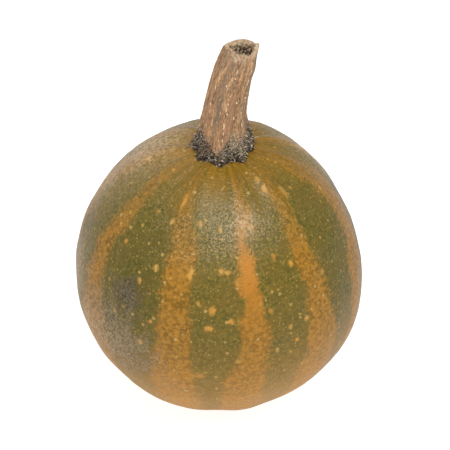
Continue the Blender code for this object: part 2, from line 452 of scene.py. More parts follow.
class Effects:
    """The effects that more than one finish uses, each built once."""

    def __init__(self) -> None:
        """Builds the effects."""
        self.mottle = self.make_mottle()
        self.flecks = self.make_flecks()
        self.dust = self.make_dust()

    @staticmethod
    def make_mottle() -> bpy.types.NodeTree:
        """Builds the mottle: cloudy patches from 0 to 1, with a stated contrast.

        Returns:
            The node group.
        """
        full_swing = 3.2
        wiring, given, wanted = new_effect("mottle", {"Scale": 100.0, "Contrast": 1.0}, ["Value"])
        cloud = wiring.noise(given["Vector"], given["Scale"], detail=3.0, roughness=0.6)
        centred = wiring.math("SUBTRACT", cloud, 0.5)
        wide = wiring.times(centred, wiring.times(given["Contrast"], full_swing))
        wiring.feed(wanted["Value"], wiring.plus(wide, 0.5, clamp=True))
        return wiring.tree

    @staticmethod
    def make_flecks() -> bpy.types.NodeTree:
        """Builds the flecks: small round marks, whose Size is the largest radius as a share of their spacing.

        Returns:
            The node group.
        """
        usual = {"Scale": 200.0, "Size": 0.2, "Share": 0.6, "Ragged": 0.15}
        least_size, soft_from, edge_noise = 0.45, 0.55, 2.6
        wiring, given, wanted = new_effect("flecks", usual, ["Mask", "Tone"])
        coarse = wiring.vector_math("SCALE", {0: given["Vector"], 3: given["Scale"]})
        warp = wiring.add("ShaderNodeTexNoise", {"Vector": coarse, "Scale": edge_noise, "Detail": 1.0})
        centred = wiring.vector_math("SUBTRACT", {0: warp.outputs["Color"], 1: (0.5, 0.5, 0.5)})
        pushed = wiring.vector_math("SCALE", {0: centred, 3: given["Ragged"]})
        place = wiring.vector_math("ADD", {0: coarse, 1: pushed})
        cells = wiring.add("ShaderNodeTexVoronoi", {"Vector": place, "Scale": 1.0}, feature="F1")
        chance = wiring.add("ShaderNodeSeparateColor", {0: cells.outputs["Color"]})
        radius = wiring.times(given["Size"], wiring.ramp(chance.outputs[0], 0.0, 1.0, least_size, 1.0))
        soft = wiring.ramp(wiring.math("DIVIDE", cells.outputs["Distance"], radius), 1.0, soft_from)
        shown = wiring.math("LESS_THAN", chance.outputs[1], given["Share"])
        wiring.feed(wanted["Mask"], wiring.times(soft, shown))
        wiring.feed(wanted["Tone"], chance.outputs[2])
        return wiring.tree

    @staticmethod
    def make_dust() -> bpy.types.NodeTree:
        """Builds the dust: a broken film, whose Cover says how much of the surface it lies on.

        Returns:
            The node group.
        """
        finer, broad_share, fine_share = 6.0, 0.55, 0.45
        bare_level, covered_drop = 0.72, 0.44
        wiring, given, wanted = new_effect("dust", {"Scale": 120.0, "Cover": 0.5}, ["Mask"])
        broad = wiring.noise(given["Vector"], given["Scale"], detail=2.0)
        fine_scale = wiring.times(given["Scale"], finer)
        fine = wiring.noise(given["Vector"], fine_scale, detail=2.0, roughness=0.7)
        both = wiring.plus(wiring.times(broad, broad_share), wiring.times(fine, fine_share))
        edge = wiring.math("SUBTRACT", bare_level, wiring.times(given["Cover"], covered_drop))
        wiring.feed(wanted["Mask"], wiring.ramp(wiring.math("SUBTRACT", both, edge), -0.06, 0.10))
        return wiring.tree


class Brush(Wiring):
    """The wiring of one material, with the shared effects at hand."""

    def __init__(self, tree: bpy.types.NodeTree, effects: Effects) -> None:
        """Takes the material's tree and the shared effects."""
        super().__init__(tree)
        self.effects = effects

    def effect(self, group: bpy.types.NodeTree, inputs: dict[str, Value]) -> bpy.types.Node:
        """Places a shared effect with values of its own.

        Args:
            group: the effect.
            inputs: what goes into its inputs, by name.

        Returns:
            The group's node.
        """
        node = self.add("ShaderNodeGroup", {}, node_tree=group)
        for key, value in inputs.items():
            self.feed(node.inputs[key], value)
        return node

    def mottle(self, place: Socket, look: Mottle) -> Socket:
        """The shared mottle, from 0 to 1."""
        inputs = {"Vector": place, "Scale": look.scale, "Contrast": look.contrast}
        return self.effect(self.effects.mottle, inputs).outputs["Value"]

    def flecks(self, place: Socket, look: Flecks) -> tuple[Socket, Socket]:
        """The shared flecks: their mask, and a tone for each.

        Args:
            place: the place on the piece.
            look: their scale, size and share.

        Returns:
            The mask and the tone.
        """
        inputs = {"Vector": place, "Scale": look.scale, "Size": look.size, "Share": look.share}
        node = self.effect(self.effects.flecks, inputs)
        return node.outputs["Mask"], node.outputs["Tone"]

    def dust(self, place: Socket, scale: float, cover: Value) -> Socket:
        """The mask of the shared dust."""
        inputs = {"Vector": place, "Scale": scale, "Cover": cover}
        return self.effect(self.effects.dust, inputs).outputs["Mask"]


def new_material(name: str, effects: Effects) -> tuple[bpy.types.Material, Brush, bpy.types.Node]:
    """Starts a material.

    Args:
        name: the material's name.
        effects: the shared effects.

    Returns:
        The material, the brush of its tree, and its Principled shader.
    """
    material = bpy.data.materials.new(name)
    material.use_nodes = True
    tree = material.node_tree
    return material, Brush(tree, effects), tree.nodes["Principled BSDF"]


def add_relief(brush: Brush, shader: bpy.types.Node, height: Socket, depth: float, strength: float) -> None:
    """Gives a material's surface a fine relief.

    Args:
        brush: the material's brush.
        shader: its Principled shader.
        height: the height over the surface, as a share of the depth.
        depth: how deep the relief is, in metres.
        strength: how much of it shows.
    """
    relief = brush.add("ShaderNodeBump", {"Strength": strength, "Distance": depth, "Height": height})
    brush.feed(shader.inputs["Normal"], relief.outputs["Normal"])


@dataclass(frozen=True)
class RindFinish:
    """A waxy rind: olive green bands between orange stripes, with flecks, a scuff and dust, and with painted
    sheen, glints, shade and bounce light.
    """

    green_dark: Colour = (0.075, 0.068, 0.008)
    green_light: Colour = (0.202, 0.143, 0.020)
    green_brown: Colour = (0.175, 0.108, 0.016)
    stripe_deep: Colour = (0.150, 0.075, 0.004)
    stripe_light: Colour = (0.405, 0.190, 0.020)
    stripe_bright: Colour = (0.480, 0.192, 0.022)
    crown_gold: Colour = (0.325, 0.155, 0.010)
    crown_brown: Colour = (0.140, 0.085, 0.007)
    # The warm tan of the painted bounce light from the floor.
    bounce_tan: Colour = (0.710, 0.330, 0.062)
    fleck_cream: Colour = (0.540, 0.370, 0.125)
    fleck_gold: Colour = (0.520, 0.290, 0.050)
    blotch: Colour = (0.590, 0.270, 0.042)
    blotch_pale: Colour = (0.580, 0.320, 0.070)
    scuff_dark: Colour = (0.059, 0.045, 0.026)
    scuff_grey: Colour = (0.160, 0.121, 0.076)
    dust_brown: Colour = (0.180, 0.122, 0.070)
    dust_grey: Colour = (0.390, 0.305, 0.205)
    # The pale tint of the painted sheen, highlight and glints.
    painted_sheen: Colour = (0.640, 0.450, 0.265)
    scar_cork: Colour = (0.330, 0.230, 0.130)
    cloud: Mottle = Mottle(70.0, 1.1)
    fine: Mottle = Mottle(420.0, 1.9)
    grain: Mottle = Mottle(1150.0, 3.0)
    streaks: Mottle = Mottle(230.0, 1.0)
    powder: Mottle = Mottle(620.0, 2.0)
    # The grain of the painted glints and of the painted shade between them.
    glint_grain: Mottle = Mottle(880.0, 2.6)
    freckles: Flecks = Flecks(380.0, 0.34, 0.5)
    sprinkle: Flecks = Flecks(560.0, 0.42, 0.8)
    spots: Flecks = Flecks(170.0, 0.24, 0.8)
    dust_scale: float = 160.0
    scuff_scale: float = 260.0
    fine_share: float = 0.55
    grain_share: float = 0.45
    calm_base: float = 0.16
    calm_swing: float = 0.70
    brown_strength: float = 0.55
    side_shade_strength: float = 0.45
    light_strength: float = 0.3
    freckle_strength: float = 0.35
    stripe_edge: tuple[float, float] = (-2.4, 2.6)
    stripe_high: float = 0.72
    bounce_strength: float = 0.48
    crown_strength: float = 0.72
    sprinkle_strength: float = 0.34
    spot_strength: float = 0.62
    dust_strength: float = 0.6
    scuff_strength: float = 0.85
    shaded_pit_strength: float = 0.70
    glint_dot_strength: float = 0.24
    roughness: float = 0.31
    roughness_swing: float = 0.24
    worn_roughness: float = 0.30
    specular: float = 0.26
    relief: float = 0.4 * MM

    def bands(self, brush: Brush, place: Socket) -> Socket:
        """The green bands and the stripes, with painted shade on the sides and painted bounce light low down,
        before any marks.

        Args:
            brush: the material's brush.
            place: the place on the fruit.

        Returns:
            The colour.
        """
        low, upper = brush.painted("low"), brush.painted("upper")
        broad, fine, grain = (brush.mottle(place, look) for look in (self.cloud, self.fine, self.grain))
        tone = brush.plus(brush.times(fine, self.fine_share), brush.times(grain, self.grain_share))
        even = brush.plus(self.calm_base, brush.times(fine, self.calm_swing))
        calm = brush.add("ShaderNodeMix", {0: brush.ramp(upper, 0.6, 0.0), 2: tone, 3: even}).outputs[0]
        green = brush.mix(tone, self.green_dark, self.green_light)
        green = brush.glaze(broad, self.brown_strength, green, self.green_brown)
        # Painted shade: the green bands towards the left and right sides are darkened.
        green = brush.glaze(brush.painted("deep"), self.side_shade_strength, green, self.green_dark)
        deep = brush.mix(calm, self.stripe_deep, self.stripe_light)
        warm = brush.glaze(broad, self.light_strength, deep, self.stripe_light)
        orange = brush.mix(brush.painted("bright"), warm, self.stripe_bright)
        ragged = brush.wander(place, 150.0, 9.0)
        torn = brush.wander(place, 620.0, 7.0, detail=3.0)
        edge = brush.plus(brush.painted("stripe"), brush.plus(ragged, torn))
        freckle = brush.times(brush.flecks(place, self.freckles)[0], self.freckle_strength)
        shaded = brush.math("SUBTRACT", brush.ramp(edge, *self.stripe_edge), freckle)
        fade = brush.ramp(upper, 0.0, 1.0, 1.0, self.stripe_high)
        shown = brush.times(brush.math("MAXIMUM", shaded, 0.0), fade)
        # Painted bounce light: a warm tan wash towards the bottom, as if lit from the pale floor.
        return brush.glaze(low, self.bounce_strength, brush.mix(shown, green, orange), self.bounce_tan)

    def flecked(self, brush: Brush, place: Socket, colour: Socket) -> Socket:
        """The crown's streaks, the flecks and the blotches.

        Args:
            brush: the material's brush.
            place: the place on the fruit.
            colour: the colour under them.

        Returns:
            The colour with them.
        """
        streak = brush.mottle(brush.painted("meridian_at", "Vector"), self.streaks)
        gold = brush.mix(streak, self.crown_brown, self.crown_gold)
        colour = brush.glaze(brush.painted("crown"), self.crown_strength, colour, gold)
        for look, strength in ((self.sprinkle, self.sprinkle_strength), (self.spots, self.spot_strength)):
            mask, tone = brush.flecks(place, look)
            tint = brush.mix(tone, self.fleck_gold, self.fleck_cream)
            colour = brush.glaze(mask, strength, colour, tint)
        nearest: Value = BLOTCH_FAR
        for name in blotch_names():
            reach = brush.add("ShaderNodeVectorMath", {0: brush.painted(name, "Vector")}, operation="LENGTH")
            nearest = brush.math("MINIMUM", nearest, reach.outputs["Value"])
        frayed = brush.wander(place, 560.0, 2.4, detail=3.0)
        blotched = brush.ramp(brush.plus(nearest, frayed), 1.45, 0.30)
        ripeness = brush.ramp(brush.noise(place, 60.0, detail=0.0), 0.4, 0.6)
        ripe = brush.mix(ripeness, self.blotch, self.blotch_pale)
        strength = brush.ramp(brush.noise(place, 90.0, detail=0.0), 0.35, 0.6, 0.5, 0.9)
        return brush.mix(brush.times(blotched, strength), colour, ripe)

    def weathered(self, brush: Brush, place: Socket, colour: Socket) -> tuple[Socket, Socket]:
        """The dust, the scuff, the painted sheen and highlight, the painted glints and shaded pits where the
        highlight falls, and the blossom scar.

        Args:
            brush: the material's brush.
            place: the place on the fruit.
            colour: the colour under them.

        Returns:
            The colour with them, and how much of the surface is worn or dusty.
        """
        dusty_at, scuff_at = brush.painted("dusty"), brush.painted("scuff")
        dusty = brush.times(brush.dust(place, self.dust_scale, dusty_at), dusty_at)
        powder = brush.mottle(place, self.powder)
        dust = brush.mix(powder, self.dust_brown, self.dust_grey)
        colour = brush.glaze(dusty, self.dust_strength, colour, dust)
        scuffed = brush.times(brush.dust(place, self.scuff_scale, scuff_at), scuff_at)
        scab = brush.mix(powder, self.scuff_dark, self.scuff_grey)
        colour = brush.glaze(scuffed, self.scuff_strength, colour, scab)
        # Painted sheen and highlight: a pale tint laid where grazing sheen and the soft highlight fall.
        painted_sheen_share = brush.times(brush.painted("painted_sheen"), brush.ramp(powder, 0.0, 1.0, 0.15, 0.75))
        colour = brush.mix(painted_sheen_share, colour, self.painted_sheen)
        # Painted glints and shade: where the highlight falls, a fine grain lightens dots towards the sheen
        # tint and darkens the pits between them.
        glint_grain = brush.mottle(place, self.glint_grain)
        patchy = brush.ramp(brush.noise(place, 60.0, detail=1.0), 0.42, 0.60, 0.30, 1.0)
        glint_zone = brush.times(brush.painted("glint_zone"), patchy)
        shaded_pits = brush.ramp(glint_grain, 0.40, 0.0, 0.0, self.shaded_pit_strength)
        glint_dots = brush.ramp(glint_grain, 0.66, 1.0, 0.0, self.glint_dot_strength)
        colour = brush.mix(brush.times(glint_zone, shaded_pits), colour, self.green_dark)
        colour = brush.mix(brush.times(glint_zone, glint_dots), colour, self.painted_sheen)
        colour = brush.mix(brush.painted("scar"), colour, self.scar_cork)
        return colour, brush.math("MAXIMUM", scuffed, dusty)

    def material(self, effects: Effects) -> bpy.types.Material:
        """Builds the rind's material.

        Args:
            effects: the shared effects.

        Returns:
            The material.
        """
        material, brush, shader = new_material("waxy_rind", effects)
        place = brush.place()
        colour, worn = self.weathered(brush, place, self.flecked(brush, place, self.bands(brush, place)))
        brush.feed(shader.inputs["Base Color"], colour)

        patchy = brush.times(brush.noise(place, 700.0, detail=3.0), self.roughness_swing)
        gloss = brush.plus(self.roughness - self.roughness_swing / 2, patchy)
        gloss = brush.plus(gloss, brush.times(worn, self.worn_roughness), clamp=True)
        brush.feed(shader.inputs["Roughness"], gloss)
        shader.inputs["Specular IOR Level"].default_value = self.specular

        pebbles = brush.noise(place, 660.0, detail=2.0, roughness=0.55)
        pebbled = brush.ramp(brush.noise(place, 55.0, detail=1.0), 0.40, 0.60, 0.8, 1.5)
        ripple = brush.noise(brush.painted("meridian_at", "Vector"), 420.0, detail=2.0)
        height = brush.plus(brush.times(pebbles, pebbled), brush.times(ripple, 0.3))
        add_relief(brush, shader, brush.plus(height, brush.times(worn, 0.5)), self.relief, 1.0)
        return material


@dataclass(frozen=True)
class BarkFinish:
    """Dry stem bark: grooved cork with pale corky dashes, a crusted foot and a torn, fibrous cut end, with
    painted shade in the grooves and low on the foot.
    """

    brown_dark: Colour = (0.140, 0.074, 0.037)
    brown_light: Colour = (0.690, 0.395, 0.195)
    red_brown: Colour = (0.380, 0.185, 0.095)
    grey_brown: Colour = (0.200, 0.150, 0.095)
    # The colour of the painted shade in the grooves.
    groove: Colour = (0.130, 0.090, 0.050)
    dash: Colour = (0.900, 0.740, 0.500)
    # The crust's own dark colour, also used for the painted shade where the stem meets the rind.
    crust_and_shade_dark: Colour = (0.030, 0.020, 0.013)
    crust_light: Colour = (0.230, 0.165, 0.105)
    crust_moss: Colour = (0.370, 0.300, 0.185)
    cut_brown: Colour = (0.420, 0.260, 0.140)
    cut_tan: Colour = (0.540, 0.425, 0.290)
    pith_dark: Colour = (0.055, 0.036, 0.020)
    pith_tan: Colour = (0.420, 0.300, 0.180)
    strands: Mottle = Mottle(620.0, 1.5)
    short_strands: Mottle = Mottle(1300.0, 1.5)
    warmth: Mottle = Mottle(170.0, 1.6)
    crumbs: Mottle = Mottle(900.0, 1.5)
    torn: Mottle = Mottle(700.0, 1.8)
    stray_dashes: Flecks = Flecks(700.0, 0.30, 0.35)
    dash_strength: float = 0.5
    roughness: float = 0.68
    roughness_swing: float = 0.2
    specular: float = 0.3
    relief: float = 0.4 * MM
    relief_strength: float = 0.8

    def bark(self, brush: Brush, grain: Socket) -> Socket:
        """The bark's colour along the wall, with painted shade in the grooves.

        Args:
            brush: the material's brush.
            grain: places on the straightened stem, squeezed along it.

        Returns:
            The colour.
        """
        short = brush.scaled(grain, (1.0, 1.0, 2.5))
        long_tone, short_tone = brush.mottle(grain, self.strands), brush.mottle(short, self.short_strands)
        tone = brush.plus(brush.times(long_tone, 0.5), brush.times(short_tone, 0.5))
        colour = brush.mix(tone, self.brown_dark, self.brown_light)
        warm = brush.mottle(grain, self.warmth)
        colour = brush.mix(brush.ramp(warm, 0.5, 0.95, 0.0, 0.5), colour, self.red_brown)
        colour = brush.mix(brush.ramp(warm, 0.42, 0.05, 0.0, 0.50), colour, self.grey_brown)
        # Painted shade: the grooves between the ridges are darkened.
        colour = brush.mix(brush.ramp(brush.painted("ridge"), 0.30, 0.0, 0.0, 0.36), colour, self.groove)
        wander = brush.plus(brush.painted("dull"), brush.math("SUBTRACT", warm, 0.5))
        dulled = brush.times(brush.ramp(wander, 0.25, 1.0), brush.ramp(tone, 0.2, 0.8, 0.9, 0.3))
        colour = brush.mix(dulled, colour, self.grey_brown)
        return brush.glaze(brush.flecks(short, self.stray_dashes)[0], self.dash_strength, colour, self.dash)

    def crusted(self, brush: Brush, place: Socket, colour: Socket, crumbs: Socket) -> Socket:
        """Adds the dark crust of the foot, which is mossy on one side, and painted shade lowest down where
        the stem meets the rind.

        Args:
            brush: the material's brush.
            place: the place on the stem.
            colour: the bark's colour.
            crumbs: the crust's mottle.

        Returns:
            The colour.
        """
        foot = brush.painted("foot")
        lighter = brush.mix(brush.painted("moss"), self.crust_light, self.crust_moss)
        crust = brush.mix(crumbs, self.crust_and_shade_dark, lighter)
        # Painted shade: lowest on the foot, where the stem meets the rind, the crust goes darker still.
        crust = brush.mix(brush.ramp(foot, 1.05, 1.55, 0.0, 0.8), crust, self.crust_and_shade_dark)
        frayed = brush.wander(place, 480.0, 2.4, detail=4.0, roughness=0.7)
        return brush.mix(brush.ramp(brush.plus(foot, frayed), 0.10, 0.80), colour, crust)

    def cut_off(self, brush: Brush, place: Socket, colour: Socket) -> Socket:
        """Adds the pale cork of the cut end and the dark pith in its pit.

        Args:
            brush: the material's brush.
            place: the place on the stem.
            colour: the bark's colour.

        Returns:
            The colour.
        """
        torn = brush.mottle(place, self.torn)
        frayed = brush.wander(place, 450.0, 1.3)
        bare = brush.ramp(brush.plus(brush.painted("cut"), frayed), 0.25, 0.75)
        colour = brush.mix(bare, colour, brush.mix(torn, self.cut_brown, self.cut_tan))
        hollow = brush.mix(brush.ramp(torn, 0.45, 0.95), self.pith_dark, self.pith_tan)
        return brush.mix(brush.painted("pit"), colour, hollow)

    def material(self, effects: Effects) -> bpy.types.Material:
        """Builds the bark's material, with the crusted foot and the cut end.

        Args:
            effects: the shared effects.

        Returns:
            The material.
        """
        material, brush, shader = new_material("stem_bark", effects)
        place, grain = brush.place(), brush.painted("grain_at", "Vector")
        crumbs = brush.mottle(place, self.crumbs)
        colour = self.crusted(brush, place, self.bark(brush, grain), crumbs)
        brush.feed(shader.inputs["Base Color"], self.cut_off(brush, place, colour))

        strands = brush.noise(grain, 700.0, detail=3.0, roughness=0.65)
        gloss = brush.plus(self.roughness, brush.times(strands, self.roughness_swing))
        brush.feed(shader.inputs["Roughness"], gloss)
        shader.inputs["Specular IOR Level"].default_value = self.specular
        rough = brush.plus(strands, brush.times(crumbs, 0.5))
        add_relief(brush, shader, rough, self.relief, self.relief_strength)
        return material


@dataclass(frozen=True)
class DryFinish:
    """Dry cork, pith or hair, in which each growth has a shade of its own."""

    name: str
    dark: Colour
    light: Colour
    film_scale: float = 500.0
    film_cover: float = 0.4
    film_strength: float = 0.30
    roughness: tuple[float, float] = (0.50, 0.75)
    specular: float = 0.25

    def material(self, effects: Effects) -> bpy.types.Material:
        """Builds the growths' material.

        Args:
            effects: the shared effects.

        Returns:
            The material.
        """
        material, brush, shader = new_material(self.name, effects)
        film = brush.dust(brush.place(), self.film_scale, self.film_cover)
        colour = brush.mix(brush.painted("shade"), self.dark, self.light)
        brush.feed(shader.inputs["Base Color"], brush.glaze(film, self.film_strength, colour, self.light))
        brush.feed(shader.inputs["Roughness"], brush.ramp(film, 0.0, 1.0, *self.roughness))
        shader.inputs["Specular IOR Level"].default_value = self.specular
        return material


WART_CORK = DryFinish("cork_wart", (0.420, 0.260, 0.145), (0.760, 0.580, 0.390))
PITH = DryFinish("pith_fibre", (0.060, 0.038, 0.020), (0.620, 0.470, 0.300))
RIM_CORK = DryFinish("cork_splinter", (0.450, 0.300, 0.170), (0.860, 0.680, 0.450))
SCURF = DryFinish("scurfy_crumb", (0.016, 0.011, 0.008), (0.620, 0.500, 0.360))
DARK_HAIR = DryFinish("dark_bristle", (0.018, 0.012, 0.008), (0.150, 0.098, 0.060))
PALE_HAIR = DryFinish("pale_bristle", (0.160, 0.115, 0.078), (0.940, 0.850, 0.720))


@dataclass(frozen=True)
class FloorFinish:
    """A pale studio floor, slightly clouded, whose own glow leaves little haze on glossy skin."""

    pale: Colour = (0.42, 0.42, 0.42)
    paler: Colour = (0.46, 0.46, 0.46)
    cloud: Mottle = Mottle(4.0, 0.6)
    roughness: float = 0.9
    specular: float = 0.1
    glow: float = 0.86
    mirror_dimming: float = 0.75

    def material(self, effects: Effects) -> bpy.types.Material:
        """Builds the floor's material.

        Args:
            effects: the shared effects.

        Returns:
            The material.
        """
        material, brush, shader = new_material("studio_floor", effects)
        cloud = brush.mottle(brush.place(), self.cloud)
        brush.feed(shader.inputs["Base Color"], brush.mix(cloud, self.pale, self.paler))
        shader.inputs["Roughness"].default_value = self.roughness
        shader.inputs["Specular IOR Level"].default_value = self.specular
        mirrored = brush.add("ShaderNodeLightPath", {}).outputs["Is Glossy Ray"]
        glow = brush.glaze(mirrored, self.mirror_dimming, (1.0, 1.0, 1.0), (0.0, 0.0, 0.0))
        brush.feed(shader.inputs["Emission Color"], glow)
        shader.inputs["Emission Strength"].default_value = self.glow
        return material


# The fruit


@dataclass(frozen=True)
class Swell:
    """A slow swelling of the fruit, or a flat where its height is negative."""

    longitude: float
    latitude: float
    spread: float
    height: float


@dataclass(frozen=True)
class Stripe:
    """An orange stripe: its middle longitude and its half-width in millimetres, at latitudes going up."""

    latitudes: tuple[float, ...]
    longitudes: tuple[float, ...]
    half_widths: tuple[float, ...]

    def inside(self, longitude: np.ndarray, latitude: np.ndarray, waist: float) -> np.ndarray:
        """How far inside the stripe's edge each place lies, in millimetres.

        Args:
            longitude: the places' longitudes.
            latitude: the places' latitudes.
            waist: the length of one degree at the fruit's waist, in millimetres.

        Returns:
            The distances, negative outside the stripe.
        """
        middle = np.interp(latitude, self.latitudes, self.longitudes)
        half = np.interp(latitude, self.latitudes, self.half_widths)
        aside = np.abs(turn_between(middle, longitude))
        return half - aside * waist * np.cos(np.radians(latitude))


@dataclass(frozen=True)
class Blotch:
    """A yellow or orange blotch in a green band: its place in degrees, and its half-sizes in millimetres."""

    longitude: float
    latitude: float
    half_length: float = 1.5
    half_width: float = 1.3

    def room(self) -> float:
        """How far from its middle, in millimetres, its vectors are kept."""
        return BLOTCH_REACH * max(self.half_length, self.half_width)

    def is_clear_of(self, other: "Blotch") -> bool:
        """Whether this blotch and another one can be kept under one name.

        Args:
            other: the other blotch.

        Returns:
            True if they lie far enough apart.
        """
        first = directions_at(np.array(self.longitude), np.array(self.latitude))
        second = directions_at(np.array(other.longitude), np.array(other.latitude))
        apart = math.acos(min(1.0, float(first @ second))) * BLOTCH_GLOBE
        return apart > self.room() + other.room() + BLOTCH_CLEARANCE


SWELLS = (
    Swell(72, -20, 20, 2.6 * MM),
    Swell(112, 30, 26, -2.2 * MM),
    Swell(-105, 32, 28, -0.9 * MM),
    Swell(155, 50, 28, 0.8 * MM),
    Swell(0, -52, 30, -1.0 * MM),
    Swell(-42, -62, 20, 1.0 * MM),
    Swell(-60, -30, 18, -0.6 * MM),
    Swell(-155, -5, 30, -1.6 * MM),
)

STRIPES = (
    Stripe((-60, -20, 2, 14, 25, 34, 44, 62, 75), (-18, -18, -18, -17.3, -17.7, -18.6, -17.6, -27, -30),
           (13, 13, 11.2, 9.7, 8.1, 8.5, 7.0, 3.6, 2.4)),
    Stripe((-60, -20, -10, 0, 9, 17, 25, 31, 40, 47, 57, 75),
           (11, 10, 9.7, 13.5, 14.1, 13.6, 14.4, 12.4, 13, 11.1, 15.3, 17),
           (12, 12, 11.7, 8.6, 9.4, 7.6, 5.0, 6.0, 4.3, 2.7, 4.1, 2.0)),
    Stripe((-60, -14, -4, 10, 21, 33, 43, 52, 64, 75), (42, 42.3, 44.4, 42.3, 43.8, 41.2, 41, 43.2, 44.2, 46),
           (14, 13.3, 12.8, 8.6, 7.4, 6.3, 5.0, 4.2, 3.8, 2.5)),
    Stripe((-60, 0, 16, 29, 38, 49, 60, 75), (72, 73, 74, 84, 86, 88, 84, 80),
           (14, 13, 12, 13, 12, 11, 8, 3)),
    Stripe((-60, 0, 30, 59, 76), (116, 118, 119, 117, 116), (12, 10, 8, 6, 3)),
    Stripe((-60, 0, 30, 59, 76), (150, 153, 151, 152, 150), (13, 9, 7, 5, 3)),
    Stripe((-60, 0, 30, 59, 76), (-168, -171, -168, -170, -172), (12, 10, 8, 6, 3)),
    Stripe((-60, 0, 30, 59, 76), (-131, -134, -131, -132, -134), (13, 9, 8, 5, 3)),
    Stripe((-60, 0, 24, 33, 44, 61, 75), (-92, -94, -98, -102, -104, -98, -100), (14, 14, 13, 12, 12, 8, 3)),
    Stripe((-60, -6, 8, 19, 30, 40, 48, 62, 75), (-57, -58, -58, -60, -61, -59.5, -58, -60.5, -60),
           (14, 14, 10.5, 8.2, 6.3, 6.2, 5.2, 3.8, 2.5)),
)

BLOTCHES = (
    Blotch(-29.6, 51.9, 1.8, 1.5), Blotch(-49.6, 37.9, 1.6, 1.2), Blotch(-29.2, 34.1, 2.0, 1.6),
    Blotch(-35.2, 27.7, 1.6, 1.3), Blotch(-50.3, 21.7, 1.4, 1.2), Blotch(-12.6, 35.2, 3.4, 1.6),
    Blotch(1.0, 36.6, 1.7, 1.7), Blotch(3.9, 36.2, 1.5, 1.4), Blotch(17.9, 51.2, 2.0, 1.7),
    Blotch(26.5, 39.0, 2.2, 1.2), Blotch(33.7, 34.7, 1.6, 1.4), Blotch(48.2, 25.6, 1.5, 1.3),
    Blotch(7.7, 32.3, 1.8, 1.6), Blotch(17.3, 23.5, 2.2, 1.4), Blotch(21.0, 19.9, 1.6, 1.4),
    Blotch(-2.6, 22.4, 2.2, 2.2), Blotch(-8.0, 24.8, 1.5, 1.4), Blotch(4.8, 18.1, 1.6, 2.0),
    Blotch(-3.7, 15.5, 1.6, 2.2), Blotch(-27.0, 14.1, 1.5, 1.3), Blotch(36.2, 11.8, 1.6, 1.3),
    Blotch(28.8, 10.9, 1.4, 1.3), Blotch(31.2, 4.4, 1.5, 1.3), Blotch(22.5, 2.5, 1.6, 1.4),
    Blotch(-7.2, -6.5, 2.0, 3.2), Blotch(7.2, 0.6, 1.6, 1.6), Blotch(-30.7, 4.0, 1.5, 1.4),
    Blotch(-44.2, 11.4, 1.5, 1.3), Blotch(-41.8, 53.3, 2.2, 1.1), Blotch(38.2, 68.3, 2.0, 1.4),
    Blotch(38.7, 63.8, 2.6, 1.2), Blotch(-12.5, 53.5, 1.6, 1.3), Blotch(0.2, 51.6, 1.6, 1.2),
    Blotch(52.1, 58.4, 4.2, 1.6), Blotch(-28.0, 60.2, 5.0, 1.2),
)


def guess_blotches(count: int = 34, seed: int = 71) -> list[Blotch]:
    """Blotches like the front's for the sides and the back, which the photograph doesn't show.

    Args:
        count: how many there are.
        seed: what fixes the draw.

    Returns:
        The blotches.
    """
    draw = np.random.default_rng(seed)
    easts, norths = draw.uniform(72, 284, count), draw.uniform(-12, 64, count)
    places = zip(easts, norths, draw.uniform(1.2, 2.6, count))
    return [Blotch(east, north, half, half * draw.uniform(0.7, 1.0)) for east, north, half in places]


def sort_blotches() -> list[list[Blotch]]:
    """Sorts the blotches into sets in which none is near another.

    Returns:
        The sets.
    """
    sets: list[list[Blotch]] = []
    for mark in [*BLOTCHES, *guess_blotches()]:
        home = next((group for group in sets if all(mark.is_clear_of(other) for other in group)), None)
        if home is None:
            home = []
            sets.append(home)
        home.append(mark)
    return sets


def blotch_names() -> list[str]:
    """The name under which the mesh keeps each set's vectors."""
    return [f"blotch_{number}" for number in range(len(sort_blotches()))]


class Patch(NamedTuple):
    """A round patch of a marking: its middle and spread in degrees, and its strength."""

    longitude: float
    latitude: float
    spread: float
    strength: float = 1.0

    def over(self, directions: np.ndarray) -> np.ndarray:
        """How strong the patch is in each direction.

        Args:
            directions: unit vectors, one row each.

        Returns:
            The strengths.
        """
        middle = directions_at(np.array(self.longitude), np.array(self.latitude))
        angle = np.degrees(np.arccos(np.clip(directions @ middle, -1, 1)))
        return self.strength * bump(angle, self.spread)


class Band(NamedTuple):
    """What is strongest at one longitude: its middle and spread in degrees, and its strength or height."""

    longitude: float
    spread: float
    strength: float = 1.0

    def over(self, longitude: np.ndarray) -> np.ndarray:
        """How strong the band is at longitudes."""
        return self.strength * bump(turn_between(self.longitude, longitude), self.spread)


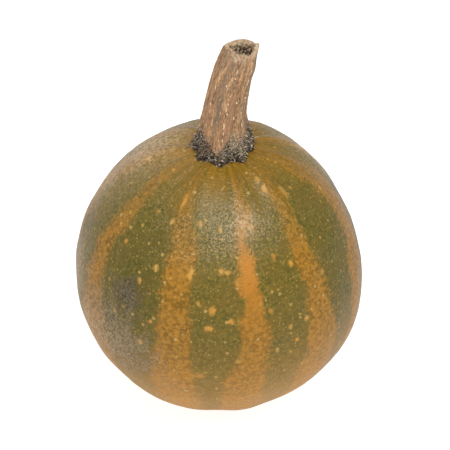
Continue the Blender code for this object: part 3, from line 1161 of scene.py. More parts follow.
@dataclass
class Rind:
    """The fruit's skin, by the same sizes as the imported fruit, with finer ribs and pleats."""

    width: float = 170 * MM
    height: float = 171 * MM
    squareness: float = 2.03
    crown_shift: float = 2.5 * MM
    crown_dip: float = 1.6 * MM
    crown_dip_radius: float = 40 * MM
    flat_depth: float = 3.2 * MM
    flat_blend: float = 2.0 * MM
    scar_radius: float = 11 * MM
    scar_depth: float = 1.6 * MM
    rib_longitudes: tuple[float, ...] = (-170, -132, -94, -62, -18, 13, 43, 79, 114, 152)
    rib_height: float = 1.3 * MM
    rib_waist_share: float = 0.3
    rib_fade_crown: tuple[float, float] = (0.16, 0.42)
    rib_fade_flat: tuple[float, float] = (0.30, 0.80)
    sides: int = 360
    bands: int = 218
    pleat_height: float = 0.26 * MM
    pleat_latitudes: tuple[float, float] = (48.0, 70.0)
    pleat_fade_crown: tuple[float, float] = (0.12, 0.26)
    pleats: tuple[tuple[float, int, float], ...] = ((0.7, 15, 0.7), (0.6, 23, 2.1), (0.3, 34, 4.0))
    smooth_front: Band = Band(0, 38, 0.65)
    unevenness: float = 0.16 * MM
    peel: float = 0.035 * MM
    bright_longitudes: Band = Band(13, 11)
    bright_latitudes: tuple[float, float] = (38, 17)
    # Where the soft highlight falls on the front's top, for the painted glints.
    glint_zone_longitudes: Band = Band(-4, 58)
    glint_zone_latitudes: tuple[float, float] = (51, 12)
    # Painted shade on the green bands towards the sides, which face away from the light.
    side_shade_longitudes: tuple[Band, ...] = (Band(-38, 15), Band(62, 15, 0.6))
    side_shade_rise: tuple[float, float] = (-25, 5)
    side_shade_fall: tuple[float, float] = (62, 40)
    crown_edge: tuple[float, float] = (52, 78)
    upper_edge: tuple[float, float] = (32, 54)
    # Where the painted bounce light from the floor lies, low on the fruit.
    bounce_edge: tuple[float, float] = (17, -42)
    bounce_gap: Band = Band(-2, 11, 0.18)
    scar_edge: tuple[float, float] = (-84.5, -86.5)
    streak_squeeze: float = 0.12
    scuff_patches: tuple[Patch, ...] = (Patch(-39.5, 20.7, 8.3), Patch(-46, 8, 7, 0.6))
    dust_patches: tuple[Patch, ...] = (
        Patch(-42, -4, 24, 0.85), Patch(150, -20, 30, 0.5), Patch(-75, 20, 30, 0.3),
    )
    # Patches of painted sheen along the rims and of painted highlight on the front's top.
    painted_sheen_patches: tuple[Patch, ...] = (
        Patch(-117, 56, 19, 1.10), Patch(-101, 40, 14, 0.80), Patch(-80, 9, 13, 0.75),
        Patch(-62, -5, 13, 0.55), Patch(124, 46, 16, 0.75), Patch(15.5, 53, 5.5, 0.68),
        Patch(-2, 50, 15, 0.12),
    )

    def rib_wave(self, longitude: np.ndarray) -> np.ndarray:
        """1 on the middle of a rib, and 0 in the furrow between two ribs.

        Args:
            longitude: the places' longitudes.

        Returns:
            The wave, one value each.
        """
        ribs = np.array(self.rib_longitudes, float)
        closed = np.concatenate([[ribs[-1] - 360], ribs, [ribs[0] + 360]])
        after = np.searchsorted(closed, longitude, side="right").clip(1, len(closed) - 1)
        before = closed[after - 1]
        return 0.5 + 0.5 * np.cos(2 * math.pi * (longitude - before) / (closed[after] - before))

    def pleated(self, longitude: np.ndarray, latitude: np.ndarray, across: np.ndarray) -> np.ndarray:
        """How far the fine pleats round the crown lift the surface.

        Args:
            longitude: the places' longitudes.
            latitude: their latitudes.
            across: their directions' distance from the fruit's axis.

        Returns:
            The heights, in metres.
        """
        turn = np.radians(longitude)
        folds = sum(share * np.cos(count * turn + phase) for share, count, phase in self.pleats)
        folds = folds * (1 - self.smooth_front.over(longitude))
        near_crown = smooth_step(*self.pleat_latitudes, latitude)
        near_crown = near_crown * smooth_step(*self.pleat_fade_crown, across)
        return self.pleat_height * near_crown * folds

    def rise(self, directions: np.ndarray, longitude: np.ndarray) -> np.ndarray:
        """How far swellings, ribs and pleats lift the surface in each direction.

        Args:
            directions: unit vectors, one row each.
            longitude: their longitudes.

        Returns:
            The heights, in metres.
        """
        across = np.hypot(directions[:, 0], directions[:, 1])
        up = directions[:, 2]
        lifted = np.zeros(len(directions))
        for swell in SWELLS:
            lifted += swell.height * Patch(swell.longitude, swell.latitude, swell.spread).over(directions)
        share = self.rib_waist_share + (1 - self.rib_waist_share) * up**4
        crown = smooth_step(*self.rib_fade_crown, across)
        flat = smooth_step(*self.rib_fade_flat, across)
        lifted += self.rib_height * share * np.where(up > 0, crown, flat) * (self.rib_wave(longitude) - 0.5)
        latitude = np.degrees(np.arcsin(np.clip(up, -1, 1)))
        return lifted + self.pleated(longitude, latitude, across)

    def surface(self, directions: np.ndarray) -> np.ndarray:
        """The skin's places in directions from the middle of an even globe.

        Args:
            directions: unit vectors, one row each.

        Returns:
            The places, one row each, with the flat spot at height 0.
        """
        half_width = self.width / 2
        half_height = (self.height + self.flat_depth + self.flat_blend / 2 + self.crown_dip) / 2
        across = np.hypot(directions[:, 0], directions[:, 1])
        up = directions[:, 2]
        longitude = np.degrees(np.arctan2(directions[:, 0], -directions[:, 1]))
        boxier = (across**self.squareness + np.abs(up) ** self.squareness) ** (-1 / self.squareness)
        places = directions * boxier[:, None] * np.array([half_width, half_width, half_height])
        rise = self.rise(directions, longitude)
        rise += self.unevenness * Waves(11, 18 * MM, 46 * MM).at(places)
        rise += self.peel * Waves(12, 5 * MM, 9 * MM, 60).at(places)
        places = places + directions * rise[:, None]

        reach = np.hypot(places[:, 0], places[:, 1])
        above = up > 0
        dip = self.crown_dip * (1 - smooth_step(0, self.crown_dip_radius, reach))
        places[:, 0] += np.where(above, self.crown_shift * up**3, 0)
        places[:, 2] -= np.where(above, dip, 0)
        height = places[:, 2] + half_height - self.flat_depth
        pressed = np.maximum(0.0, height) ** 2 / (2 * self.flat_blend)
        height = np.where(height < self.flat_blend, pressed, height - self.flat_blend / 2)
        dimple = self.scar_depth * np.maximum(0.0, 1 - (reach / self.scar_radius) ** 2) ** 2
        places[:, 2] = height + np.where(above, 0, dimple)
        return places

    def paint_bands(self, mesh: bpy.types.Mesh, longitude: np.ndarray, latitude: np.ndarray) -> None:
        """Keeps on the mesh where the stripes, the crown, the base and the scar are.

        Args:
            mesh: the rind's mesh.
            longitude: the vertices' longitudes.
            latitude: the vertices' latitudes.
        """

        def level(middle: float, spread: float) -> np.ndarray:
            """How near each vertex is to a latitude, from 0 to 1."""
            return bump(latitude - middle, spread)

        waist = math.radians(1) * self.width / 2 / MM
        inside = [stripe.inside(longitude, latitude, waist) for stripe in STRIPES]
        paint(mesh, "stripe", np.clip(np.max(inside, axis=0), -12, 12))
        paint(mesh, "bright", self.bright_longitudes.over(longitude) * level(*self.bright_latitudes))
        # Where the painted glints and their painted shade go: the highlight on the front's top.
        paint(mesh, "glint_zone", self.glint_zone_longitudes.over(longitude) * level(*self.glint_zone_latitudes))
        # Painted shade on the green bands towards the sides.
        deep = np.max([band.over(longitude) for band in self.side_shade_longitudes], axis=0)
        fade = smooth_step(*self.side_shade_rise, latitude) * smooth_step(*self.side_shade_fall, latitude)
        paint(mesh, "deep", deep * fade)
        paint(mesh, "crown", smooth_step(*self.crown_edge, latitude))
        paint(mesh, "upper", smooth_step(*self.upper_edge, latitude))
        # Painted bounce light from the floor, strongest towards the bottom.
        paint(mesh, "low", smooth_step(*self.bounce_edge, latitude) * (1 - self.bounce_gap.over(longitude)))
        paint(mesh, "scar", smooth_step(*self.scar_edge, latitude))
        turn = np.radians(longitude)
        length = self.width / 2 * np.radians(latitude) * self.streak_squeeze
        meridian = np.stack([np.cos(turn) * self.width / 4, np.sin(turn) * self.width / 4, length], axis=1)
        paint(mesh, "meridian_at", meridian)

    def paint_blotches(self, mesh: bpy.types.Mesh, longitude: np.ndarray, latitude: np.ndarray) -> None:
        """Keeps on the mesh how each vertex lies to a blotch near it, measured in the blotch's own sizes.

        Args:
            mesh: the rind's mesh.
            longitude: the vertices' longitudes.
            latitude: the vertices' latitudes.
        """
        radius = self.width / 2 / MM
        for name, marks in zip(blotch_names(), sort_blotches()):
            vectors = np.zeros((len(longitude), 3))
            vectors[:, 2] = BLOTCH_FAR
            for mark in marks:
                up = np.radians(latitude - mark.latitude) * radius / mark.half_length
                level = math.cos(math.radians(mark.latitude))
                aside = np.radians(turn_between(mark.longitude, longitude)) * radius * level / mark.half_width
                beside = np.hypot(up, aside) < BLOTCH_REACH
                vectors[beside] = np.stack([aside, up, np.zeros(len(up))], axis=1)[beside]
            paint(mesh, name, vectors)

    def paint_marks(self, mesh: bpy.types.Mesh, directions: np.ndarray) -> None:
        """Keeps on the mesh where the scuff, the painted sheen and highlight, and the dust are.

        Args:
            mesh: the rind's mesh.
            directions: the vertices' directions, one row each.
        """
        paint(mesh, "scuff", np.max([patch.over(directions) for patch in self.scuff_patches], axis=0))
        # Where the painted sheen and highlight lie.
        paint(mesh, "painted_sheen", np.max([patch.over(directions) for patch in self.painted_sheen_patches], axis=0))
        paint(mesh, "dusty", np.clip(sum(patch.over(directions) for patch in self.dust_patches), 0, 1))

    def build(self, material: bpy.types.Material) -> bpy.types.Object:
        """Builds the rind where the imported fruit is.

        Args:
            material: the rind's material.

        Returns:
            The rind.
        """
        bm = bmesh.new()
        bmesh.ops.create_uvsphere(bm, u_segments=self.sides, v_segments=self.bands, radius=1)
        rind = add_mesh("rind", bm)
        directions = vertex_places(rind.data)
        directions /= np.linalg.norm(directions, axis=1, keepdims=True)
        places = self.surface(directions)
        low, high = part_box("fruit")
        middle = (places.min(axis=0) + places.max(axis=0)) / 2
        self.shift = np.array([(low.x + high.x) / 2 - middle[0], (low.y + high.y) / 2 - middle[1], 0])
        move_vertices(rind.data, places + self.shift)
        longitude = np.degrees(np.arctan2(directions[:, 0], -directions[:, 1]))
        latitude = np.degrees(np.arcsin(np.clip(directions[:, 2], -1, 1)))
        self.paint_bands(rind.data, longitude, latitude)
        self.paint_marks(rind.data, directions_at(longitude, latitude))
        self.paint_blotches(rind.data, longitude, latitude)
        polygons = [tuple(polygon.vertices) for polygon in rind.data.polygons]
        self.tree = BVHTree.FromPolygons([Vector(place) for place in vertex_places(rind.data)], polygons)
        hand_over(rind, "fruit", material)
        return rind

    def height_at(self, x: float, y: float) -> float:
        """How high the rind's top surface is at x, y."""
        hit, _, _, _ = self.tree.ray_cast(Vector((x, y, 2 * self.height)), Vector((0, 0, -1)))
        return hit.z


# The stem


class Ring(NamedTuple):
    """A ring of the cut end: its share of the radius, its depth in millimetres and its share of pith."""

    share: float
    depth: float
    pith: float


class Wave(NamedTuple):
    """A small ripple round the stem: its height, how often it turns, and its phase in degrees."""

    height: float
    turns: int
    phase: float = 0.0

    def over(self, longitude: np.ndarray) -> np.ndarray:
        """The ripple at longitudes."""
        return self.height * np.sin(np.radians(self.turns * longitude + self.phase))


@dataclass
class Stem:
    """The cut stem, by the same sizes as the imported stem, with finer grooves and a torn end."""

    rind: Rind
    height: float = 60.4 * MM
    thickness: float = 11.8 * MM
    lean_x: float = 10.2 * MM
    lean_y: float = 6.0 * MM
    bend: float = 2.4
    twist: float = 14
    narrowing: float = 0.21
    flare: float = 3.9 * MM
    flare_height: float = 11 * MM
    flare_curve: float = 1.5
    ridge_longitudes: tuple[float, ...] = (-145, -98, -52, -5, 42, 88, 130, 172)
    ridge_spread: float = 13
    ridge_share: float = 0.085
    ridge_fade: float = 0.6
    lobe_share: float = 0.15
    lobe_height: float = 6 * MM
    seat_gap: float = -0.3 * MM
    flank: Band = Band(82, 38, 2.2 * MM)
    flank_fade: tuple[float, float] = (27 * MM, 12 * MM)
    wall_swells: tuple[tuple[Band, float, float], ...] = (
        (Band(-85, 45, -0.9 * MM), 36 * MM, 13 * MM), (Band(88, 28, 0.8 * MM), 53.5 * MM, 5 * MM),
    )
    rim_bumps: tuple[Band, ...] = (
        Band(85, 21, 4.2 * MM), Band(112, 24, 3.5 * MM), Band(142, 20, 2.2 * MM), Band(176, 34, 2.3 * MM),
        Band(-118, 32, -1.9 * MM),
    )
    cut_slope: float = 0.8 * MM
    rim_drop: float = 0.2 * MM
    hollow: tuple[Ring, ...] = (
        Ring(0.975, 0.10, 0.0), Ring(0.94, 0.0, 0.0), Ring(0.91, 0.0, 0.0), Ring(0.88, 0.05, 0.0),
        Ring(0.85, 0.15, 0.15), Ring(0.825, 0.5, 0.5), Ring(0.80, 1.2, 0.9), Ring(0.77, 2.2, 1.0),
        Ring(0.70, 3.1, 1.0), Ring(0.60, 3.8, 1.0), Ring(0.50, 4.2, 1.0), Ring(0.40, 4.6, 1.0),
        Ring(0.28, 4.9, 1.0), Ring(0.16, 5.2, 1.0), Ring(0.07, 5.4, 1.0),
    )
    hollow_narrowing: float = 0.42
    thick_sides: tuple[Band, ...] = (Band(85, 40, 0.15), Band(-75, 40, 0.12))
    hollow_floor: float = 5.5 * MM
    rim_jags: tuple[Wave, ...] = (Wave(0.25 * MM, 23), Wave(0.2 * MM, 37, 50))
    sides: int = 240
    rings: int = 190
    ring_crowding: float = 1.35
    strand_height: float = 0.22 * MM
    strand_turns: tuple[int, ...] = (17, 23, 31, 41, 53)
    grain_squeeze: float = 0.16
    crust_height: float = 0.60 * MM
    crust_top: float = 8.5 * MM
    crust_tufts: tuple[Band, ...] = (
        Band(-66, 30, 6.0 * MM), Band(28, 27, 6.5 * MM), Band(84, 20, 11.0 * MM), Band(128, 18, 4.0 * MM),
        Band(176, 22, 6.0 * MM), Band(-128, 18, 5.0 * MM), Band(-17, 17, -3.5 * MM),
    )
    moss: Band = Band(32, 34)
    dull_front: Band = Band(-29, 9)
    dull_front_rise: tuple[float, float] = (8 * MM, 22 * MM)
    dull_sides: tuple[Band, ...] = (Band(72, 13, 0.75), Band(-120, 10, 0.8))
    bare_rim: tuple[float, float] = (9 * MM, 0.5 * MM)
    bare_front: Band = Band(5, 55, 0.35)
    bare_least: float = 0.15

    def __post_init__(self) -> None:
        """Finds the middle of the stem's foot."""
        x, y = self.rind.shift[0] + self.rind.crown_shift, self.rind.shift[1]
        self.seat = np.array([x, y, self.rind.height_at(x, y)])

    def crust_height_at(self, longitude: np.ndarray) -> np.ndarray:
        """How high the crust climbs at longitudes, with a tuft in most grooves."""
        return self.crust_top + sum(tuft.over(longitude) for tuft in self.crust_tufts)

    def centre(self, height: np.ndarray) -> np.ndarray:
        """Points on the centreline, which bends aside as it rises."""
        bent = (np.maximum(height, 0) / self.height) ** self.bend
        return self.seat + np.stack([self.lean_x * bent, self.lean_y * bent, height], axis=-1)

    def axes_across(self, height: np.ndarray) -> tuple[np.ndarray, np.ndarray]:
        """The two directions across the stem at heights.

        Args:
            height: how far along the stem, in metres.

        Returns:
            The directions towards +X and towards -Y.
        """
        slope = self.bend * (np.maximum(height, 0) / self.height) ** (self.bend - 1)
        rise = np.full_like(slope, self.height)
        along = np.stack([self.lean_x * slope, self.lean_y * slope, rise], axis=-1)
        along /= np.linalg.norm(along, axis=-1, keepdims=True)
        aside = np.array([1.0, 0, 0]) - along * along[..., :1]
        aside /= np.linalg.norm(aside, axis=-1, keepdims=True)
        return aside, np.cross(aside, along)

    def ridge_wave(self, longitude: np.ndarray, height: np.ndarray) -> np.ndarray:
        """About 1 on a ridge, and near 0 in a groove."""
        untwisted = longitude - self.twist * height / self.height
        return sum(bump(turn_between(ridge, untwisted), self.ridge_spread) for ridge in self.ridge_longitudes)

    def strands(self, longitude: np.ndarray, height: np.ndarray) -> np.ndarray:
        """Fine fibres along the stem, which wander and swell a little.

        Args:
            longitude: where round the stem, in degrees.
            height: how far along it, in metres.

        Returns:
            Their height, from about -1 to 1.
        """
        turn = np.radians(longitude - self.twist * height / self.height)
        rise = height / self.height
        total = np.zeros(np.broadcast(longitude, height).shape)
        for number, waves in enumerate(self.strand_turns):
            wander = 0.5 * np.sin(2 * math.pi * rise * (1.3 + 0.4 * number) + number)
            swell = 0.7 + 0.3 * np.sin(2 * math.pi * rise * (2.1 + 0.7 * number) + 2 * number)
            total += swell * np.cos(waves * turn + wander + 1.7 * number) / (1 + 0.25 * number)
        return total / 2.2

    def radius(self, longitude: np.ndarray, height: np.ndarray) -> np.ndarray:
        """The wall's distance from the centreline.

        Args:
            longitude: where round the stem, in degrees.
            height: how far along it, in metres.

        Returns:
            The distances, in metres.
        """
        share = height / self.height
        plain = self.thickness * (1 - self.narrowing * share**4)
        above = np.maximum(height, 0) / self.flare_height
        plain = plain + self.flare * np.exp(-(above**self.flare_curve))
        ridges = self.ridge_share * (1 - self.ridge_fade * share)
        ridges = ridges + self.lobe_share * bump(height, self.lobe_height)
        flank = self.flank.over(longitude) * smooth_step(*self.flank_fade, height)
        flank = flank * smooth_step(0, self.lobe_height, height)
        for band, level, reach in self.wall_swells:
            flank = flank + band.over(longitude) * bump(height - level, reach)
        wall = plain * (1 + ridges * (self.ridge_wave(longitude, height) - 0.5))
        return wall + flank + self.strand_height * self.strands(longitude, height)

    def wall(self, longitude: np.ndarray, height: np.ndarray, inset: float | np.ndarray = 1.0) -> np.ndarray:
        """Points on the wall, or inside it at a share of its radius.

        Args:
            longitude: where round the stem, in degrees.
            height: how far along it, in metres.
            inset: the share of the wall's radius.

        Returns:
            The points, one row each.
        """
        longitude, height = np.broadcast_arrays(np.asarray(longitude, float), np.asarray(height, float))
        aside, ahead = self.axes_across(height)
        turn = np.radians(longitude)
        out = self.radius(longitude, height) * inset
        across = aside * (out * np.sin(turn))[..., None]
        points = self.centre(height) + across + ahead * (out * np.cos(turn))[..., None]
        settle = np.exp(-2 * np.maximum(height, 0) / self.flare_height).ravel()
        flat = points.reshape(-1, 3)
        for index in np.flatnonzero(settle > 0.002):
            under = self.rind.height_at(flat[index, 0], flat[index, 1]) + self.seat_gap
            flat[index, 2] += (under - self.seat[2]) * settle[index]
        return flat.reshape(points.shape)

    def cut_height(self, longitude: np.ndarray) -> np.ndarray:
        """How high the torn rim stands at longitudes.

        Args:
            longitude: where round the stem, in degrees.

        Returns:
            The heights along the stem, in metres.
        """
        turn = np.radians(longitude)
        lip = sum(band.over(longitude) for band in self.rim_bumps)
        ragged = 0.22 * MM * np.sin(5 * turn) + 0.16 * MM * np.sin(9 * turn + 0.7)
        splinters = 0.22 * MM * np.abs(np.sin(19 * turn + 1.0)) + 0.16 * MM * np.abs(np.sin(31 * turn))
        return self.height + lip - self.cut_slope * np.cos(turn) + ragged + splinters - self.rim_drop

    def oval(self, longitude: np.ndarray, inset: float) -> np.ndarray:
        """Draws a ring of the cut end in towards the front and the back, as the hollow is wider than deep.

        Args:
            longitude: where round the stem, in degrees.
            inset: the ring's share of the wall's radius.

        Returns:
            The share at each longitude.
        """
        share = smooth_step(0.98, 0.80, np.array(inset))
        narrow = self.hollow_narrowing * np.cos(np.radians(longitude)) ** 2
        thick = sum(side.over(longitude) for side in self.thick_sides)
        return inset * (1 - share * (narrow + thick))

    def hollow_depth(self, inset: float) -> float:
        """How deep the hollow of the cut end is at a share of the wall's radius."""
        rings = self.hollow[::-1]
        return float(np.interp(inset, [ring.share for ring in rings], [ring.depth for ring in rings])) * MM

    def hollow_height(self, ring: Ring, longitude: np.ndarray, rim: np.ndarray) -> np.ndarray:
        """How high a ring of the cut end stands, with crumbly pith low down and jags at the rim.

        Args:
            ring: the ring.
            longitude: the longitudes of its points.
            rim: the torn rim's heights at them.

        Returns:
            The heights along the stem, in metres.
        """
        jag = sum(wave.over(longitude) for wave in self.rim_jags)
        level = min(1.0, max(0.0, 1.6 * ring.depth * MM / self.hollow_floor))
        crumbly = 0.5 * MM * ring.pith * np.cos(np.radians(longitude * 7) + 40 * ring.share)
        crumbly = crumbly * np.cos(60 * ring.share)
        crumbly = crumbly + 0.25 * MM * (1 - ring.pith) * np.cos(np.radians(longitude * 11) + 90 * ring.share)
        return (1 - level) * rim + level * self.height - ring.depth * MM + jag * (1 - level) + crumbly

    def roughen(self, points: np.ndarray, longitude: np.ndarray, height: np.ndarray) -> np.ndarray:
        """Pushes points of the foot in and out where the crust is.

        Args:
            points: points on the wall, one row each.
            longitude: their longitudes.
            height: their heights along the stem.

        Returns:
            The roughened points.
        """
        rough = points.copy()
        top = self.crust_height_at(longitude)
        for index in np.flatnonzero(height < top):
            share = (1 - max(height[index], 0) / top[index]) ** 0.6
            place = Vector(points[index])
            lump = noise.noise(place * 420) + 0.6 * noise.noise(place * 950)
            outward = points[index] - self.seat
            outward[2] = 0
            outward /= max(np.linalg.norm(outward), 1e-6)
            rough[index] += outward * lump * share * self.crust_height
        return rough

    def build(self, material: bpy.types.Material) -> bpy.types.Object:
        """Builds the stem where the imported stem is.

        Args:
            material: the bark's material.

        Returns:
            The stem.
        """
        longitude = np.arange(self.sides) * 360 / self.sides
        rim = self.cut_height(longitude)
        loops: list[np.ndarray] = []
        painted: list[tuple[np.ndarray, ...]] = []

        def keep(height: np.ndarray, inset: float | np.ndarray, cut: float, pith: float) -> None:
            """Adds a loop, and what its points are painted with."""
            points = self.wall(longitude, height, inset)
            loops.append(self.roughen(points, longitude, height) if cut == 0.0 else points)
            even = np.ones(self.sides)
            painted.append((longitude, height, even * inset, even * cut, even * pith))

        for inset in (0.4, 0.8):
            keep(np.zeros(self.sides), inset, 0.0, 0.0)
        for number in range(self.rings + 1):
            keep((number / self.rings) ** self.ring_crowding * rim, 1.0, 0.0, 0.0)
        for ring in self.hollow:
            keep(self.hollow_height(ring, longitude, rim), self.oval(longitude, ring.share), 1.0, ring.pith)
        ends = (self.wall(0, 0, 0.0), self.wall(0, self.height - self.hollow_floor, 0.0))
        stem = skin("corky_stem", loops, ends)
        first, last = (0.0, 0.0, 0.0, 0.0, 0.0), (0.0, self.height, 0.0, 1.0, 1.0)
        self.paint(stem.data, *(np.hstack(rows) for rows in zip(first, *painted, last)))
        hand_over(stem, "stem", material)
        return stem

    def paint(
        self,
        mesh: bpy.types.Mesh,
        longitude: np.ndarray,
        height: np.ndarray,
        inset: np.ndarray,
        cut: np.ndarray,
        pith: np.ndarray,
    ) -> None:
        """Keeps on the mesh where the ridges, the crusted foot, the cut end and the pith are.

        Args:
            mesh: the stem's mesh.
            longitude: each vertex's longitude.
            height: each vertex's height along the stem.
            inset: each vertex's share of the wall's radius.
            cut: how much each vertex belongs to the cut end.
            pith: how much of it is pith.
        """
        untwisted = longitude - self.twist * height / self.height
        turn, out = np.radians(untwisted), self.thickness * inset
        grain = np.stack([np.cos(turn) * out, np.sin(turn) * out, height * self.grain_squeeze], axis=1)
        paint(mesh, "grain_at", grain)
        paint(mesh, "ridge", self.ridge_wave(longitude, height))
        dull = self.dull_front.over(untwisted) * smooth_step(*self.dull_front_rise, height)
        paint(mesh, "dull", np.max([dull, *(band.over(untwisted) for band in self.dull_sides)], axis=0))
        top = self.crust_height_at(longitude)
        crust = smooth_step(1.45 * top, 0.45 * top, height)
        # The 0.6 added lowest down marks painted shade where the stem meets the rind.
        paint(mesh, "foot", crust + 0.6 * smooth_step(5 * MM, 0.5 * MM, height))
        paint(mesh, "moss", self.moss.over(longitude))
        bare = smooth_step(*self.bare_rim, self.cut_height(longitude) - height)
        bare = bare * (self.bare_least + self.bare_front.over(longitude))
        paint(mesh, "cut", np.maximum(cut, bare))
        paint(mesh, "pit", pith)


# The stem's small growths


@dataclass
class Growths:
    """Small growths of one kind on the stem, which make one piece."""

    stem: Stem
    piece: str
    seed: int

    def grow(self, draw: np.random.Generator, bm: bmesh.types.BMesh) -> list[float]:
        """Adds the growths to a mesh, and gives a shade from 0 to 1 for each vertex."""
        raise NotImplementedError

    def build(self, material: bpy.types.Material) -> bpy.types.Object:
        """Builds the growths.

        Args:
            material: their material.

        Returns:
            One object with all of them.
        """
        bm = bmesh.new()
        shades = self.grow(np.random.default_rng(self.seed), bm)
        piece = add_mesh(self.piece, bm)
        paint(piece.data, "shade", np.array(shades))
        hand_over(piece, "stem", material)
        return piece


@dataclass
class Bristles(Growths):
    """Bristles of one kind, each a thin bent spike that grows from the stem's foot."""

    count: int
    lengths: tuple[float, float]
    root_radius: float
    band: tuple[float, float]
    droop: float
    joints: int = 4
    sunk: float = 0.4 * MM
    clearance: float = 0.15 * MM
    crowding: float = 1.2
    tufting: float = 260.0
    bare_top: float = 0.50
    thinning: float = 0.9
    jitter: float = 6
    thicknesses: tuple[float, float] = (0.7, 1.2)
    root_shade: float = 0.25
    lean: tuple[float, float, float] = (0.9, 0.9, 0.7)

    def centreline(self, draw: np.random.Generator, longitude: float, height: float) -> list[Vector]:
        """Points along one bristle, which droops and lies on the rind where it reaches it.

        Args:
            draw: the random numbers.
            longitude: where round the foot it grows.
            height: how high up the foot it grows.

        Returns:
            The points, from under the bark to the tip.
        """
        root = Vector(self.stem.wall(longitude, height))
        beside = Vector(self.stem.wall(longitude + 3, height))
        above = Vector(self.stem.wall(longitude, height + MM))
        out = (beside - root).cross(above - root).normalized()
        widest = Vector(self.lean)
        heading = (out + Vector(draw.uniform(-widest, widest))).normalized()
        length = draw.uniform(*self.lengths)
        points = [root - out * self.sunk]
        for joint in range(1, self.joints + 1):
            share = joint / self.joints
            point = root + heading * length * share + Vector((0, 0, -self.droop * length * share**2))
            point.z = max(point.z, self.stem.rind.height_at(point.x, point.y) + self.clearance)
            points.append(point)
        return points

    def grow(self, draw: np.random.Generator, bm: bmesh.types.BMesh) -> list[float]:
        """Grows the bristles round the foot.

        Args:
            draw: the random numbers.
            bm: the mesh that they are added to.

        Returns:
            A shade for each vertex.
        """
        shades: list[float] = []
        low, high = self.band
        for number in range(self.count):
            longitude = (number * GOLDEN_ANGLE + draw.uniform(-self.jitter, self.jitter)) % 360
            top = float(self.stem.crust_height_at(np.array(longitude)))
            height = top * (low + (high - low) * draw.uniform() ** self.crowding)
            place = Vector(self.stem.wall(longitude, height))
            if noise.noise(place * self.tufting) < self.thinning * height / top - self.bare_top:
                continue
            points = self.centreline(draw, longitude, height)
            add_spike(bm, points, self.root_radius * draw.uniform(*self.thicknesses))
            tone = 0.1 + 0.9 * draw.uniform() ** 1.6
            for joint in range(self.joints):
                shades.extend([tone * (self.root_shade + (1 - self.root_shade) * joint / self.joints)] * 3)
            shades.append(tone)
        bmesh.ops.recalc_face_normals(bm, faces=bm.faces)
        return shades


class BristleKind(Enum):
    """The kinds of bristle at the stem's foot, each with its sizes."""

    DARK = {
        "piece": "bristles_dark", "seed": 41, "count": 620, "lengths": (1.0 * MM, 2.8 * MM),
        "root_radius": 0.22 * MM, "band": (0.02, 1.25), "droop": 0.2,
    }
    PALE = {
        "piece": "bristles_pale", "seed": 42, "count": 260, "lengths": (1.0 * MM, 2.8 * MM),
        "root_radius": 0.28 * MM, "band": (0.02, 1.2), "droop": 0.3, "crowding": 0.85, "bare_top": 0.8,
    }
    LONG = {
        "piece": "bristles_long", "seed": 43, "count": 30, "lengths": (4.0 * MM, 7.0 * MM),
        "root_radius": 0.26 * MM, "band": (0.03, 0.4), "droop": 0.5,
    }

    def on(self, stem: Stem) -> Bristles:
        """The bristles of this kind on a stem."""
        return Bristles(stem, **self.value)


@dataclass
class Crumbs(Growths):
    """Scurfy crumbs of old bark that cling to the stem's foot: most of them dark, and some pale flakes."""

    piece: str = "foot_crumbs"
    seed: int = 31
    count: int = 1100
    radii: tuple[float, float] = (0.28 * MM, 0.80 * MM)
    reach: float = 1.15
    crowding: float = 1.25
    flattest: tuple[float, float, float] = (0.6, 0.6, 0.5)
    fullest: tuple[float, float, float] = (1.2, 1.2, 1.1)
    pale_share: float = 0.20
    pale_in_moss: float = 0.30
    pale_shades: tuple[float, float] = (0.5, 1.0)
    dark_shades: tuple[float, float] = (0.0, 0.16)

    def grow(self, draw: np.random.Generator, bm: bmesh.types.BMesh) -> list[float]:
        """Scatters the crumbs over the foot.

        Args:
            draw: the random numbers.
            bm: the mesh that they are added to.

        Returns:
            A shade for each vertex.
        """
        shades: list[float] = []
        for _ in range(self.count):
            longitude = draw.uniform(0, 360)
            top = float(self.stem.crust_height_at(np.array(longitude)))
            share = draw.uniform() ** self.crowding
            place = Vector(self.stem.wall(longitude, self.reach * top * share))
            radius = draw.uniform(*self.radii) * (1.1 - 0.7 * share)
            made = bmesh.ops.create_icosphere(bm, subdivisions=1, radius=radius)["verts"]
            flatten = draw.uniform(self.flattest, self.fullest)
            for vertex in made:
                offset = Vector(np.array(vertex.co) * flatten)
                vertex.co = place + offset * (1 + 0.5 * noise.noise((place + offset) * 1500))
            mossy = float(self.stem.moss.over(np.array(longitude)))
            pale = draw.uniform() < self.pale_share + self.pale_in_moss * mossy
            tone = draw.uniform(*(self.pale_shades if pale else self.dark_shades))
            shades.extend([tone] * len(made))
        return shades


